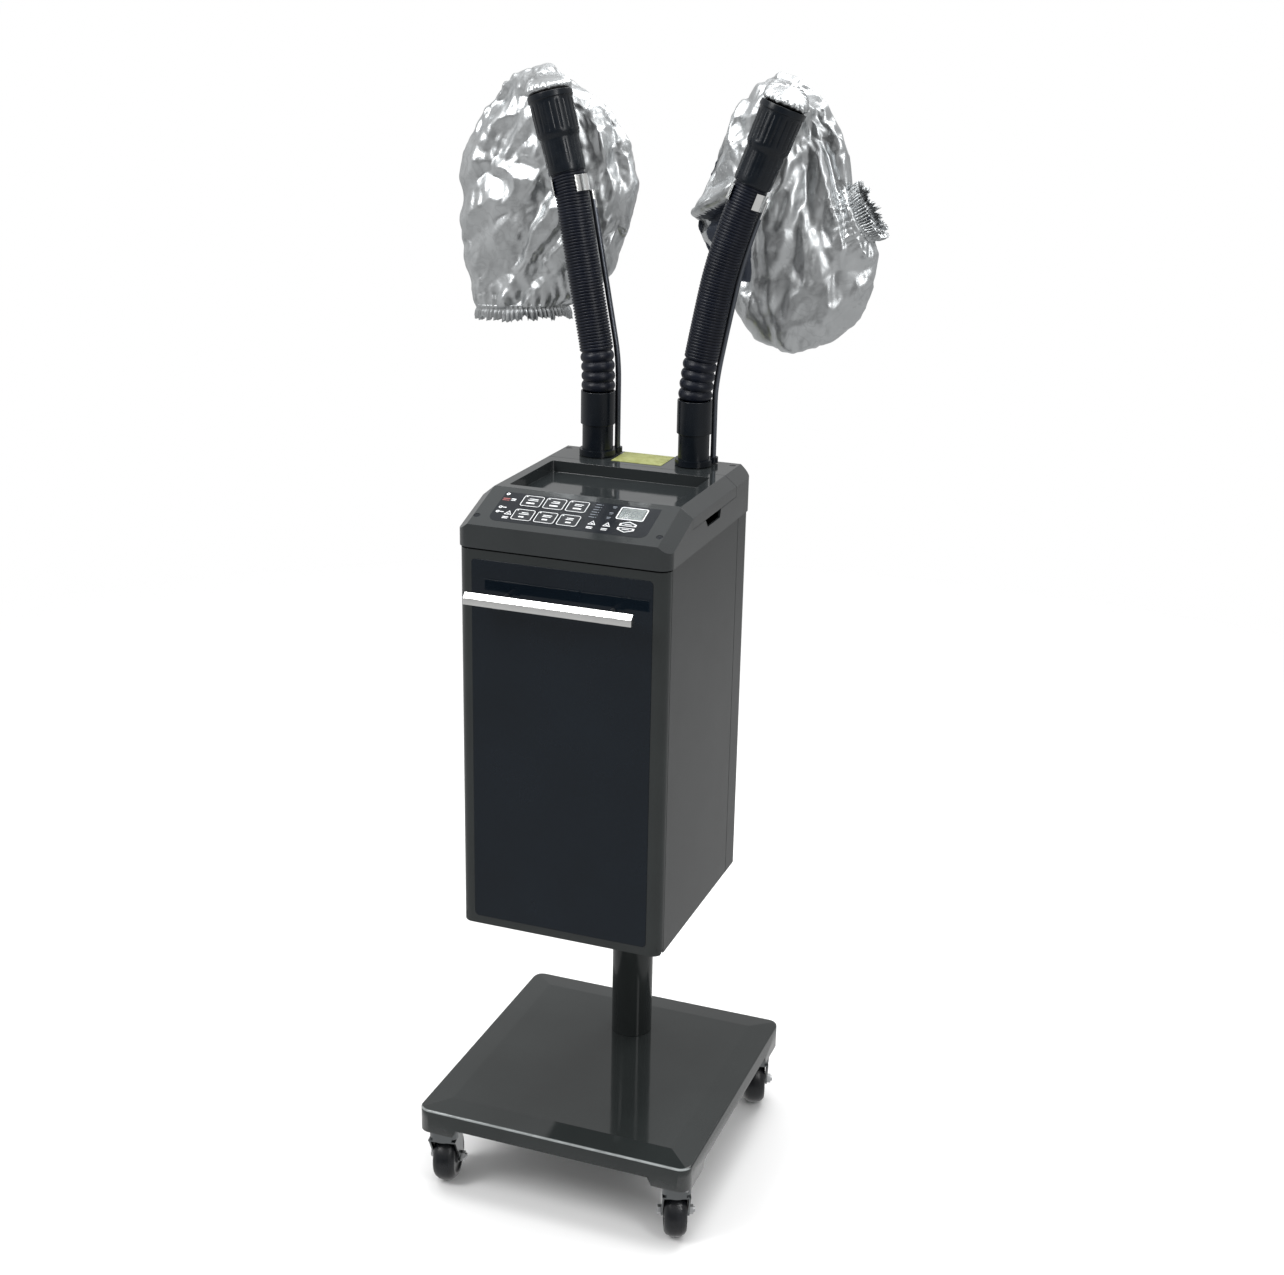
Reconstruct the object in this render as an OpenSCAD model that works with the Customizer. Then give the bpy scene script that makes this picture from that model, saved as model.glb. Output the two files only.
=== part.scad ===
// Two-hood salon hair dryer on a wheeled stand. Millimetres, +Z up, front at -Y.
// The model is laid out about the cabinet's vertical middle plane, with the floor at z = 0,
// and every node is then moved so that the origin is the middle of the footprint.

/* [Cabinet] */
// Width of the cabinet body
body_w = 289; // [270:1:310]
// Depth of the cabinet body
body_d = 330; // [315:1:350]
// Height of the cabinet's underside above the floor
body_z = 437; // [400:1:480]
// Height of the cabinet body, up to the lower edge of the top cover
body_h = 537; // [480:1:600]
// Radius of the cabinet's vertical front and rear edges
body_r = 15; // [8:0.5:20]
// Thickness of the sheet panels
sheet = 2; // [1.5:0.1:3]
// Where the rear shell starts, behind the cabinet's middle
rear_seam_y = 116; // [100:1:130]

/* [Top cover] */
// How far the top cover stands out past the body
cover_step = 2; // [1:0.5:4]
// Height of the top cover, from its lower edge to the deck
cover_h = 61.5; // [55:0.5:70]
// Wall of the moulded top cover and lid
cover_t = 3; // [2:0.5:4]
// Height that the sloping control face drops to its front lip
fascia_drop = 30.5; // [20:0.5:36]
// Front seam of the tray lid
lid_front_y = -82; // [-90:1:-70]
// Rear seam of the tray lid
lid_rear_y = 97; // [85:1:100]
// Width of the sloping edge along both sides
edge_w = 17; // [10:0.5:20]
// Drop of the sloping edge along both sides
edge_h = 14; // [8:0.5:16]
// Width of the accessory tray in the lid
tray_w = 230; // [200:1:240]
// Depth of the accessory tray, front to back
tray_d = 145; // [120:1:150]
// Sinking of the tray's floor below the deck
tray_h = 16; // [8:0.5:20]

/* [Controls] */
// Width of a program key
key_w = 29; // [20:0.5:29.5]
// Height of a program key
key_h = 25; // [18:0.5:27]
// Spacing of the program keys across the panel
key_pitch = 31.5; // [31:0.5:34]

/* [Stand] */
// Width of the base
base_w = 410; // [380:1:450]
// Depth of the base
base_d = 428; // [400:1:460]
// Distance of the base's middle behind the cabinet's middle
base_y = 19; // [0:1:30]
// Height of the base's top edge above the floor
base_z = 139; // [130:1:150]
// Height of the base's edge
base_h = 24; // [18:1:26]
// Diameter of the column
column_dia = 61; // [50:1:70]
// Distance of the column behind the cabinet's middle
column_y = 125; // [90:1:130]
// Diameter of the caster wheels
wheel_dia = 75; // [70:1:76]
// Width of the caster wheels
wheel_w = 32; // [24:1:34]
// Distance of the wheel's axle behind the caster's swivel axis
caster_trail = 20; // [10:1:24]

/* [Hoses] */
// Distance of each hose port from the cabinet's middle plane
port_x = 71; // [66:1:76]
// Distance of the hose ports behind the cabinet's middle
port_y = 134; // [128:1:136]
// Outer diameter of a port pipe
port_dia = 43; // [40:0.5:44]
// Outer diameter of the corrugated hose
hose_dia = 47; // [44:0.5:48]
// Direction in which the hoses lean, from straight sideways towards the back
lean_turn = 18; // [0:1:30]
// Diameter of the support rods
rod_dia = 8; // [6:0.5:9]

/* [Hidden] */
origin_x = -21;
origin_y = 43.5;

$fn = 64;
slit = 0.4;      // gap between pieces that move past each other
hair = 0.01;     // overlap that keeps joined solids whole
over = 1;        // how far a cutter stands out of what it cuts

body_top = body_z + body_h;
deck_z = body_top + cover_h;
cover_w = body_w + 2 * cover_step;
cover_d = body_d + 2 * cover_step;
cover_r = body_r + cover_step;
fascia_front = -cover_d / 2;
fascia_run = lid_front_y - fascia_front;
slope = atan2(fascia_drop, fascia_run);
lid_skirt_z = deck_z - edge_h - 14.5;
door_depth = 15;
door_gap = 2.5;

shell_grey = [0.16, 0.17, 0.18];
gloss_black = [0.05, 0.055, 0.06];
hose_black = [0.04, 0.05, 0.07];
chrome = [0.8, 0.8, 0.82];
zinc = [0.62, 0.63, 0.64];
silver_cloth = [0.72, 0.73, 0.75];

// ---------- shared shapes ----------

module place() {
    translate([-origin_x, -origin_y, 0]) children();
}

// Rectangle with true round corners, centred
module round_rect(w, d, r) {
    square([w - 2 * r, d], center = true);
    square([w, d - 2 * r], center = true);
    for (x = [-1, 1], y = [-1, 1])
        translate([x * (w / 2 - r), y * (d / 2 - r)]) circle(r);
}

module round_block(w, d, r, z0, z1) {
    translate([0, 0, z0]) linear_extrude(z1 - z0) round_rect(w, d, r);
}

module box(x0, x1, y0, y1, z0, z1) {
    translate([x0, y0, z0]) cube([x1 - x0, y1 - y0, z1 - z0]);
}

module rod(r, z0, z1) {
    translate([0, 0, z0]) cylinder(r = r, h = z1 - z0);
}

module rod_x(r, x0, x1) {
    translate([x0, 0, 0]) rotate([0, 90, 0]) cylinder(r = r, h = x1 - x0);
}

module rod_y(r, y0, y1) {
    translate([0, y0, 0]) rotate([-90, 0, 0]) cylinder(r = r, h = y1 - y0);
}

// ---------- stand ----------

border_w = 38;    // sloping border round the top of the base
border_rise = 4;
pan_t = 2.5;
pad_z = 103;      // underside of the deeper corners that carry the casters
pad_w = 54;        // across the base
pad_d = 66;        // front to back
pad_slant = 6;
flange_r = 54;
flange_t = 6;
flange_bolt_r = 42;
foot_bolt_r = 17;
plug_h = 22;
base_r = 17;
column_r = column_dia / 2;
plateau_z = base_z + border_rise;

// Slab with a sloping border, cut from two crossing profiles
module bordered_slab(w, d, r, z0, edge_z) {
    intersection() {
        round_block(w, d, r, z0, edge_z + border_rise);
        rotate([90, 0, 0]) translate([0, 0, -d / 2 - over]) linear_extrude(d + 2 * over)
            polygon([[-w / 2, z0], [w / 2, z0], [w / 2, edge_z], [w / 2 - border_w, edge_z + border_rise],
                [-w / 2 + border_w, edge_z + border_rise], [-w / 2, edge_z]]);
        rotate([90, 0, 90]) translate([0, 0, -w / 2 - over]) linear_extrude(w + 2 * over)
            polygon([[-d / 2, z0], [d / 2, z0], [d / 2, edge_z], [d / 2 - border_w, edge_z + border_rise],
                [-d / 2 + border_w, edge_z + border_rise], [-d / 2, edge_z]]);
    }
}

// Two pads of width p at the ends of a side of length w, with slanted inner ends
module pad_profile(w, p) {
    for (s = [0, 1]) mirror([s, 0]) polygon([[-w / 2, pad_z], [-w / 2 + p, pad_z],
        [-w / 2 + p + pad_slant, base_z - base_h], [-w / 2 + p + pad_slant, base_z],
        [-w / 2, base_z]]);
}

module base_pan() {
    color(shell_grey) place() translate([0, base_y, 0]) difference() {
        union() {
            difference() {
                bordered_slab(base_w, base_d, base_r, base_z - base_h, base_z);
                bordered_slab(base_w - 2 * pan_t, base_d - 2 * pan_t, base_r - pan_t,
                    base_z - base_h - over, base_z - pan_t);
            }
            intersection() {
                round_block(base_w, base_d, base_r, pad_z, base_z - pan_t);
                rotate([90, 0, 0]) translate([0, 0, -base_d]) linear_extrude(2 * base_d)
                    pad_profile(base_w, pad_w);
                rotate([90, 0, 90]) translate([0, 0, -base_w]) linear_extrude(2 * base_w)
                    pad_profile(base_d, pad_d);
            }
        }
        translate([0, column_y - base_y, 0]) {
            for (a = [45:90:315]) rotate(a) translate([foot_bolt_r, 0, 0])
                rod(4.2, base_z - 5, plateau_z + over);
        }
    }
}

// Steel tube that stands on the base pan and ends under the cabinet
module column_tube() {
    color(shell_grey) place() translate([0, column_y, 0]) difference() {
        rod(column_r, plateau_z, body_z - flange_t);
        rod(column_r - 2.5, plateau_z - over, body_z - flange_t + over);
    }
}

// Foot plug in the tube, clamp plate under the base pan, and flange at the tube's head, cut straight
// behind so that it ends under the cabinet
module column_fittings() {
    color(shell_grey) place() translate([0, column_y, 0]) {
        difference() {
            rod(column_r - 2.6, plateau_z, plateau_z + plug_h);
            for (a = [45:90:315]) rotate(a) translate([foot_bolt_r, 0, 0])
                rod(4, plateau_z - over, plateau_z + plug_h + over);
        }
        difference() {
            rod(flange_r, plateau_z - pan_t - flange_t, plateau_z - pan_t);
            for (a = [45:90:315]) rotate(a) translate([foot_bolt_r, 0, 0])
                rod(4.2, plateau_z - pan_t - flange_t - over, plateau_z);
        }
        difference() {
            rod(flange_r, body_z - flange_t, body_z);
            box(-body_w, body_w, body_d / 2 - sheet - column_y, body_d, 0, body_z + over);
            at_head_bolts() rod(4.2, body_z - flange_t - over, body_z + over);
        }
    }
}

// Puts children at the head flange's four bolts, all inside the bottom pan
module at_head_bolts() {
    for (a = [-135, -45, 15, 165]) rotate(a) translate([flange_bolt_r, 0, 0]) children();
}

// Four hexagon bolts up into the foot plug, and four down through the head flange
module frame_bolts() {
    foot_z = plateau_z - pan_t - flange_t;
    color(zinc) place() translate([0, column_y, 0]) {
        for (a = [45:90:315]) rotate(a) translate([foot_bolt_r, 0, 0]) {
            rod(4, foot_z - hair, plateau_z + plug_h - 2);
            translate([0, 0, foot_z - 5]) cylinder(r = 7, h = 5, $fn = 6);
        }
        at_head_bolts() {
            rod(4, body_z - flange_t - 8, body_z + sheet + hair);
            translate([0, 0, body_z + sheet]) cylinder(r = 7, h = 5, $fn = 6);
            translate([0, 0, body_z - flange_t - 6]) cylinder(r = 7, h = 6, $fn = 6);
        }
    }
}

// ---------- casters ----------

caster_x = base_w / 2 - 27;
caster_dy = base_d / 2 - 31;
kingpin_r = 5;
fit = 0.05;        // radial clearance of running fits
wheel_fit = 0.09;  // looser, for the plain bores of the wheels
wheel_r = wheel_dia / 2;
axle_r = 4;
fork_in = wheel_w / 2 + 1.5;
fork_t = 2.5;
crown_z = wheel_r * 2 + 4;
caster_turns = [["fl", -1, -1, 101], ["fr", 1, -1, 112], ["rl", -1, 1, 100], ["rr", 1, 1, 108]];

// Moves a caster piece to its corner; its own +X is the way that the wheel trails
module at_caster(i) {
    place() translate([caster_turns[i][1] * caster_x, base_y + caster_turns[i][2] * caster_dy, 0])
        rotate(caster_turns[i][3]) children();
}

module caster_plates() {
    color(zinc) for (i = [0:3]) place()
        translate([caster_turns[i][1] * caster_x, base_y + caster_turns[i][2] * caster_dy, 0]) {
            box(-24, 24, -23, 23, pad_z - 3, pad_z);
            rod(kingpin_r, crown_z - 1.5, pad_z - 3 + hair);
        }
}

module caster_fork(i) {
    color(chrome) at_caster(i) {
        difference() {
            union() {
                rod(21, crown_z + fork_t - hair, pad_z - 3.5);
                box(-16, 26, -fork_in - fork_t, fork_in + fork_t, crown_z, crown_z + fork_t);
            }
            rod(kingpin_r + fit, crown_z - over, pad_z);
        }
        for (s = [-1, 1]) difference() {
            translate([0, s * (fork_in + fork_t / 2), 0]) rotate([90, 0, 0])
                translate([0, 0, -fork_t / 2]) linear_extrude(fork_t) union() {
                    polygon([[-16, crown_z + fork_t], [26, crown_z + fork_t], [caster_trail + 9, wheel_r],
                        [caster_trail - 9, wheel_r]]);
                    translate([caster_trail, wheel_r]) circle(9);
                }
            translate([caster_trail, 0, wheel_r]) rod_y(axle_r, -60, 60);
        }
    }
}

// Axle bolt with its head and nut outside the fork
module caster_axle(i) {
    color(zinc) at_caster(i) translate([caster_trail, 0, wheel_r]) {
        rod_y(axle_r, -fork_in - fork_t - 8, fork_in + fork_t + hair);
        translate([0, fork_in + fork_t, 0]) rotate([-90, 0, 0]) cylinder(r = 7, h = 5, $fn = 6);
        translate([0, -fork_in - fork_t, 0]) rotate([90, 0, 0]) cylinder(r = 7, h = 5.5, $fn = 6);
    }
}

// Wheel with a crowned tread, dished sides and a hub as wide as the fork allows
module wheel(i) {
    crown = 4;
    color(hose_black) at_caster(i) translate([caster_trail, 0, wheel_r]) rotate([90, 0, 0]) rotate_extrude()
        polygon([[axle_r + wheel_fit, -wheel_w / 2 - 1], [11, -wheel_w / 2 - 1], [12, -wheel_w / 2 + 3],
            [wheel_r - 14, -wheel_w / 2 + 3], [wheel_r - 12, -wheel_w / 2], [wheel_r - 8, -wheel_w / 2],
            [wheel_r - crown, -wheel_w / 2 + 3], [wheel_r - 1, -wheel_w / 4], [wheel_r, 0],
            [wheel_r - 1, wheel_w / 4], [wheel_r - crown, wheel_w / 2 - 3], [wheel_r - 8, wheel_w / 2],
            [wheel_r - 12, wheel_w / 2], [wheel_r - 14, wheel_w / 2 - 3], [12, wheel_w / 2 - 3],
            [11, wheel_w / 2 + 1], [axle_r + wheel_fit, wheel_w / 2 + 1]]);
}

module caster_fork_fl() { caster_fork(0); }
module caster_fork_fr() { caster_fork(1); }
module caster_fork_rl() { caster_fork(2); }
module caster_fork_rr() { caster_fork(3); }
module caster_axle_fl() { caster_axle(0); }
module caster_axle_fr() { caster_axle(1); }
module caster_axle_rl() { caster_axle(2); }
module caster_axle_rr() { caster_axle(3); }
module wheel_fl() { wheel(0); }
module wheel_fr() { wheel(1); }
module wheel_rl() { wheel(2); }
module wheel_rr() { wheel(3); }

// ---------- cabinet body ----------

side_front = -body_d / 2 + door_depth + 1;
bulkhead_y = -20;
hinge_y = side_front - 1.5;
hinge_z = body_z + 8;
pan_lip = 18;
pan_front = side_front + 9;

module bottom_pan() {
    w = body_w - 2 * sheet - 0.4;
    color(shell_grey) place() difference() {
        box(-w / 2, w / 2, pan_front, body_d / 2 - sheet - 14, body_z, body_z + pan_lip);
        box(-w / 2 + sheet, w / 2 - sheet, pan_front + sheet, body_d / 2 - 2 * sheet - 14,
            body_z + sheet, body_z + pan_lip + over);
        translate([0, column_y, 0]) at_head_bolts() rod(4.2, body_z - over, body_z + sheet + over);
    }
}

// Flat side panel with a folded front return
module side_panel(s) {
    color(shell_grey) place() {
        x0 = s > 0 ? body_w / 2 - sheet : -body_w / 2;
        f0 = s > 0 ? body_w / 2 - 12 : -body_w / 2 + sheet - hair;
        box(x0, x0 + sheet, side_front, rear_seam_y - 0.4, body_z, body_top);
        box(f0, f0 + 12 - sheet + hair, side_front, side_front + sheet, body_z + pan_lip + 2, body_top);
    }
}

module side_panel_left() { side_panel(-1); }
module side_panel_right() { side_panel(1); }

// U-shaped rear shell with an air intake, and a cut-out for the mains module
module rear_shell() {
    color(shell_grey) place() difference() {
        intersection() {
            round_block(body_w, body_d, body_r, body_z, body_top);
            box(-body_w, body_w, rear_seam_y, body_d, body_z, body_top);
        }
        round_block(body_w - 2 * sheet, body_d - 2 * sheet, body_r - sheet, body_z - over, body_top + over);
        for (z = [0:11], x = [-1, 1])
            box(x * 50 - 36, x * 50 + 36, body_d / 2 - 5, body_d / 2 + 5, 640 + z * 10, 644 + z * 10);
        box(-inlet_w / 2, inlet_w / 2, body_d / 2 - 5, body_d / 2 + 5, inlet_z, inlet_z + inlet_h);
    }
}

// Partition behind the storage space, with the shelf that the blowers stand on
module bulkhead() {
    w = body_w - 2 * sheet - 0.6;
    color(zinc) place() {
        box(-w / 2, w / 2, bulkhead_y, bulkhead_y + 1.5, body_z + pan_lip + 1, body_top - 1);
        box(-w / 2, w / 2, bulkhead_y + 1.5 - hair, bulkhead_y + 22, body_top - 20, body_top - 18.5);
        box(-w / 2, w / 2, bulkhead_y + 1.5 - hair, drum_y + drum_w, drum_z - drum_r - 1.5, drum_z - drum_r);
    }
}

// ---------- top cover and tray lid ----------

// Front view of the cover: square-sided, with a sloping edge of width e and height h on each side
module edge_profile(w, z0, z1, e, h) {
    polygon([[-w / 2, z0], [w / 2, z0], [w / 2, z1 - h], [w / 2 - e, z1], [-w / 2 + e, z1],
        [-w / 2, z1 - h]]);
}

module along_y(y0, y1) {
    translate([0, y1, 0]) rotate([90, 0, 0]) linear_extrude(y1 - y0) children();
}

// Puts children on the sloping control face: +Y up the slope, +Z out of it
module on_fascia() {
    translate([0, lid_front_y, deck_z]) rotate([slope, 0, 0]) children();
}

// Outer form of the cover, or its hollow when t is the wall: the level part and the sloping part
// are both convex, so their shared space is the form
module cover_form(t, z0) {
    tilt = cos(slope);
    w = cover_w - 2 * t;
    intersection() {
        round_block(w, cover_d - 2 * t, cover_r - t, z0, deck_z);
        along_y(-body_d, body_d) edge_profile(w, z0 - over, deck_z - t, edge_w, edge_h);
        on_fascia() along_y(-200, 400) edge_profile(w, -250, -t * tilt, edge_w - 0.5, edge_h * tilt);
    }
}

module key_shape(i) {
    if (i < 6) round_rect(key_w, key_h, 3);
    else mirror([0, i - 6, 0]) polygon([[-12, -5], [12, -5], [12, 0], [0, 6], [-12, 0]]);
}

// Middle of each key on the control face: three by two program keys, then up and down
function key_at(i) = i < 6
    ? [-65 + (i % 3) * key_pitch, i < 3 ? -26 : -57.5]
    : [77, i == 6 ? -50.5 : -63.5];

panel_w = 216;
panel_top = 11;
panel_bottom = 76;
panel_r = 12;
overlay_t = 0.8;
overlay_sink = 0.6;
key_lift = 0.5;
key_depth = 4.2;
key_gap = 0.45;
window_w = 33;
window_h = 23;
window_at = [74, -28];
finger_y0 = -32;
finger_y1 = 32;
finger_h = 11;
cap_r = 4.4;
cap_at_front = [125, 69];   // sideways, and down the slope
cap_at_rear = [122, 153];   // sideways, and back

module panel_outline() {
    h = panel_bottom - panel_top;
    translate([0, -panel_top - h / 2]) union() {
        round_rect(panel_w, h, panel_r);
        translate([-panel_w / 2, 0]) square([panel_w, h / 2]);
    }
}

module finger_notch(x) {
    translate([x - cover_t, 0, 0]) rotate([90, 0, 90]) linear_extrude(2 * cover_t)
        polygon([[finger_y0, lid_skirt_z + over], [finger_y0 + 10, lid_skirt_z - finger_h],
            [finger_y1 - 4, lid_skirt_z - finger_h], [finger_y1, lid_skirt_z + over]]);
}

module top_cover() {
    ledge = 6;
    ledge_z = deck_z - cover_t - slit;
    color(shell_grey) place() difference() {
        union() {
            difference() {
                cover_form(0, body_top);
                cover_form(cover_t, body_top - over);
                box(-cover_w, cover_w, lid_front_y, lid_rear_y, lid_skirt_z, deck_z + over);
            }
            ledge_x = cover_w / 2 - edge_w - 6;
            box(-ledge_x, ledge_x, lid_front_y - 4, lid_front_y + ledge, deck_z - 12, ledge_z);
            box(-ledge_x, ledge_x, lid_rear_y - ledge, lid_rear_y + 4, deck_z - 12, ledge_z);
            box(-ledge_x, ledge_x, lid_rear_y + 1, lid_rear_y + 4, deck_z - 12, deck_z - 2);
        }
        on_fascia() {
            translate([0, 0, -overlay_sink]) linear_extrude(over * 2) panel_outline();
            for (i = [0:7]) translate([key_at(i)[0], key_at(i)[1], -cover_t - 2]) linear_extrude(cover_t + 4)
                key_opening(i);
            translate([window_at[0], window_at[1], -cover_t - 2]) linear_extrude(cover_t + 4)
                square([window_w, window_h], center = true);
            for (x = [-1, 1]) translate([x * cap_at_front[0], -cap_at_front[1], 0])
                rod(cap_r, -1.2, over);
        }
        for (x = [-1, 1]) {
            translate([x * cap_at_rear[0], cap_at_rear[1], deck_z]) rod(cap_r, -1.2, over);
            translate([x * port_x, port_y, 0]) rod(port_dia / 2 + 0.3, deck_z - 10, deck_z + over);
            finger_notch(x * (cover_w - cover_t) / 2);
        }
    }
}

// A key's opening stands clear of the key all round
module key_opening(i) {
    if (i < 6) round_rect(key_w + 2 * key_gap, key_h + 2 * key_gap, 3 + key_gap);
    else mirror([0, i - 6, 0])
        polygon([[-12.5, -5.5], [12.5, -5.5], [12.5, 0.3], [0, 6.6], [-12.5, 0.3]]);
}

module tray_lid() {
    y0 = lid_front_y + slit;
    y1 = lid_rear_y - slit;
    ty = (lid_front_y + lid_rear_y) / 2 - 3;
    tray_t = 2.5;
    color(shell_grey) place() {
        difference() {
            along_y(y0, y1) edge_profile(cover_w, lid_skirt_z + slit, deck_z, edge_w, edge_h);
            along_y(y0 - over, y1 + over)
                edge_profile(cover_w - 2 * cover_t, lid_skirt_z - over, deck_z - cover_t, edge_w, edge_h);
            translate([0, ty, 0]) round_block(tray_w, tray_d, 4, deck_z - 10, deck_z + over);
        }
        translate([0, ty, 0]) difference() {
            round_block(tray_w + 2 * tray_t, tray_d + 2 * tray_t, 4 + tray_t, deck_z - tray_h - tray_t,
                deck_z - cover_t + hair);
            round_block(tray_w, tray_d, 4, deck_z - tray_h, deck_z);
        }
    }
}

module key_overlay() {
    color(gloss_black) place() on_fascia() difference() {
        translate([0, 0, -overlay_sink]) linear_extrude(overlay_t) panel_outline();
        for (i = [0:7]) translate([key_at(i)[0], key_at(i)[1], -2]) linear_extrude(4) key_opening(i);
        translate([window_at[0], window_at[1], -2]) linear_extrude(4)
            square([window_w + 0.1, window_h + 0.1], center = true);
    }
}

module display_window() {
    color([0.75, 0.78, 0.78]) place() on_fascia() translate([window_at[0], window_at[1], -cover_t])
        linear_extrude(cover_t + 0.3) square([window_w - 0.2, window_h - 0.2], center = true);
}

module key(i) {
    color([0.1, 0.1, 0.11]) place() on_fascia() translate([key_at(i)[0], key_at(i)[1], 0]) {
        translate([0, 0, -key_depth]) linear_extrude(key_depth + key_lift) key_shape(i);
    }
}

module key_1() { key(0); }
module key_2() { key(1); }
module key_3() { key(2); }
module key_4() { key(3); }
module key_5() { key(4); }
module key_6() { key(5); }
module key_up() { key(6); }
module key_down() { key(7); }

// Circuit board on four posts under the control face, with its transformer and relays
module control_board() {
    color([0.1, 0.3, 0.15]) place() on_fascia() translate([0, 0, -key_depth - 4.5]) {
        box(-100, 100, -74, -13, 0, 1.6);
        box(-88, -58, -66, -40, -20, hair);
        for (x = [-30:22:36]) box(x, x + 15, -60, -42, -14, hair);
        for (x = [-96, 96], y = [-69, -18]) translate([x, y, 0])
            rod(2.5, 1.6 - hair, key_depth + 4.5 - cover_t);
    }
}

module screw_caps() {
    color(gloss_black) place() {
        on_fascia() for (x = [-1, 1]) translate([x * cap_at_front[0], -cap_at_front[1], 0])
            rod(cap_r - 0.1, -1.2, -0.3);
        for (x = [-1, 1]) translate([x * cap_at_rear[0], cap_at_rear[1], deck_z])
            rod(cap_r - 0.1, -1.2, -0.3);
    }
}

module blank_plate() {
    color([0.6, 0.62, 0.3]) place() translate([-4, 137, deck_z]) round_block(74, 56, 1.5, 0, 0.5);
}

// ---------- front door ----------

door_top = body_top - door_gap;
door_bottom = body_z;
door_face = -body_d / 2;
inlay_w = 250;
inlay_r = 6;
lug_in = 128;
lug_out = 139;
pin_r = 3;
handle_w = 230;
handle_x = -4;
handle_z = 909.5;
handle_front = door_face - 40;
post_x = [-74, 72];
post_r = 3.5;

// Pan-shaped door: front skin with round edges, side returns and hinge lugs
module door_shell() {
    back = door_face + door_depth;
    color(shell_grey) place() difference() {
        union() {
            difference() {
                intersection() {
                    round_block(body_w, body_d, body_r, door_bottom, door_top);
                    box(-body_w, body_w, door_face - over, back, door_bottom, door_top);
                }
                intersection() {
                    round_block(body_w - 2 * sheet, body_d - 2 * sheet, body_r - sheet,
                        door_bottom - over, door_top - sheet);
                    box(-body_w, body_w, door_face, back + over, door_bottom - over, door_top);
                }
            }
            for (s = [-1, 1]) {
                x0 = s > 0 ? lug_in : -lug_out;
                box(x0, x0 + lug_out - lug_in, door_face + sheet - hair, hinge_y + 2, hinge_z - 4,
                    hinge_z + 6);
                translate([x0, hinge_y, hinge_z]) rod_x(5, 0, lug_out - lug_in);
            }
        }
        corner_relief();
        translate([0, hinge_y, hinge_z]) rod_x(pin_r + fit, -body_w / 2 + sheet, body_w / 2 - sheet);
        along_y(door_face - over, door_face + 1)
            translate([0, (door_bottom + door_top) / 2]) round_rect(inlay_w, body_h - 26, inlay_r);
    }
}

// Cuts the lower rear corner of both side returns, which swings inwards as the door tilts
module corner_relief() {
    relief = 9;
    y = door_face + door_depth + over;
    for (x = [-body_w / 2 - over, body_w / 2 - sheet - over]) translate([x, 0, 0]) rotate([90, 0, 90])
        linear_extrude(sheet + 2 * over)
            polygon([[y - relief, door_bottom - over], [y, door_bottom + relief],
                [y + over, door_bottom - over]]);
}

module door_panel() {
    color(gloss_black) place() along_y(door_face - 0.6, door_face + 1)
        translate([0, (door_bottom + door_top) / 2]) round_rect(inlay_w - 0.4, body_h - 26.4, inlay_r);
}

// Solid bar with a sloping upper front face
module handle_bar() {
    color(chrome) place() translate([handle_x - handle_w / 2, 0, 0]) rotate([90, 0, 90])
        linear_extrude(handle_w) polygon([[handle_front, handle_z], [handle_front + 13, handle_z],
            [handle_front + 13, handle_z + 15], [handle_front + 7, handle_z + 15],
            [handle_front, handle_z + 9]]);
}

module handle_posts() {
    color(chrome) place() for (x = post_x) {
        translate([x, 0, handle_z + 5]) rod_y(post_r, handle_front + 13, door_face - 0.6);
        box(x - 5, x + 5, handle_front + 4, handle_front + 13, handle_z - 2, handle_z);
    }
}

// Two brackets on the bottom pan's lip, each with a pin that points outwards into the door's lug
module hinge_brackets() {
    arm_x = lug_in - 3.4;
    color(zinc) place() for (s = [0, 1]) mirror([s, 0, 0]) {
        box(arm_x - 20, arm_x + 3, pan_front - 2, pan_front, body_z + 2, body_z + pan_lip);
        box(arm_x, arm_x + 3, hinge_y, pan_front - 2 + hair, hinge_z - 3, hinge_z + 3);
        translate([0, hinge_y, hinge_z]) rod_x(4.5, arm_x, arm_x + 3);
        translate([0, hinge_y, hinge_z]) rod_x(pin_r, arm_x, lug_out - 1);
    }
}

// ---------- air system ----------

drum_r = 60;
drum_w = 56;
drum_y = 78;
drum_z = 700;
drum_t = 2;
duct_r = 24;
heater_z0 = 800;
heater_z1 = 940;
sleeve_h = 8;

module at_each_side() {
    for (s = [-1, 1]) translate([s * port_x, 0, 0]) children();
}

// Sheet-metal blower drum with an inlet in its back and a round outlet duct up to the heater
module blower_housings() {
    color(zinc) place() at_each_side() difference() {
        union() {
            translate([0, 0, drum_z]) rod_y(drum_r, drum_y, drum_y + drum_w);
            translate([0, port_y - 28, 0]) rod(duct_r, drum_z, heater_z0);
        }
        translate([0, 0, drum_z]) rod_y(drum_r - drum_t, drum_y + drum_t, drum_y + drum_w - drum_t);
        translate([0, 0, drum_z]) rod_y(30, drum_y + drum_w - drum_t - over, drum_y + drum_w + over);
        translate([0, 0, drum_z]) rod_y(12, drum_y - over, drum_y + drum_t + over);
        translate([0, port_y - 28, 0]) rod(duct_r - drum_t, drum_z, heater_z0 + over);
    }
}

module blower_motors() {
    color(zinc) place() at_each_side() translate([0, 0, drum_z]) {
        difference() {
            union() {
                rod_y(28, drum_y - 46, drum_y - 0.2);
                rod_y(34, drum_y - 4, drum_y);
            }
            rod_y(5, drum_y - 2, drum_y + over);
        }
        rod_y(4, drum_y - 2.5, drum_y + drum_w - 14);
    }
}

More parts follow.
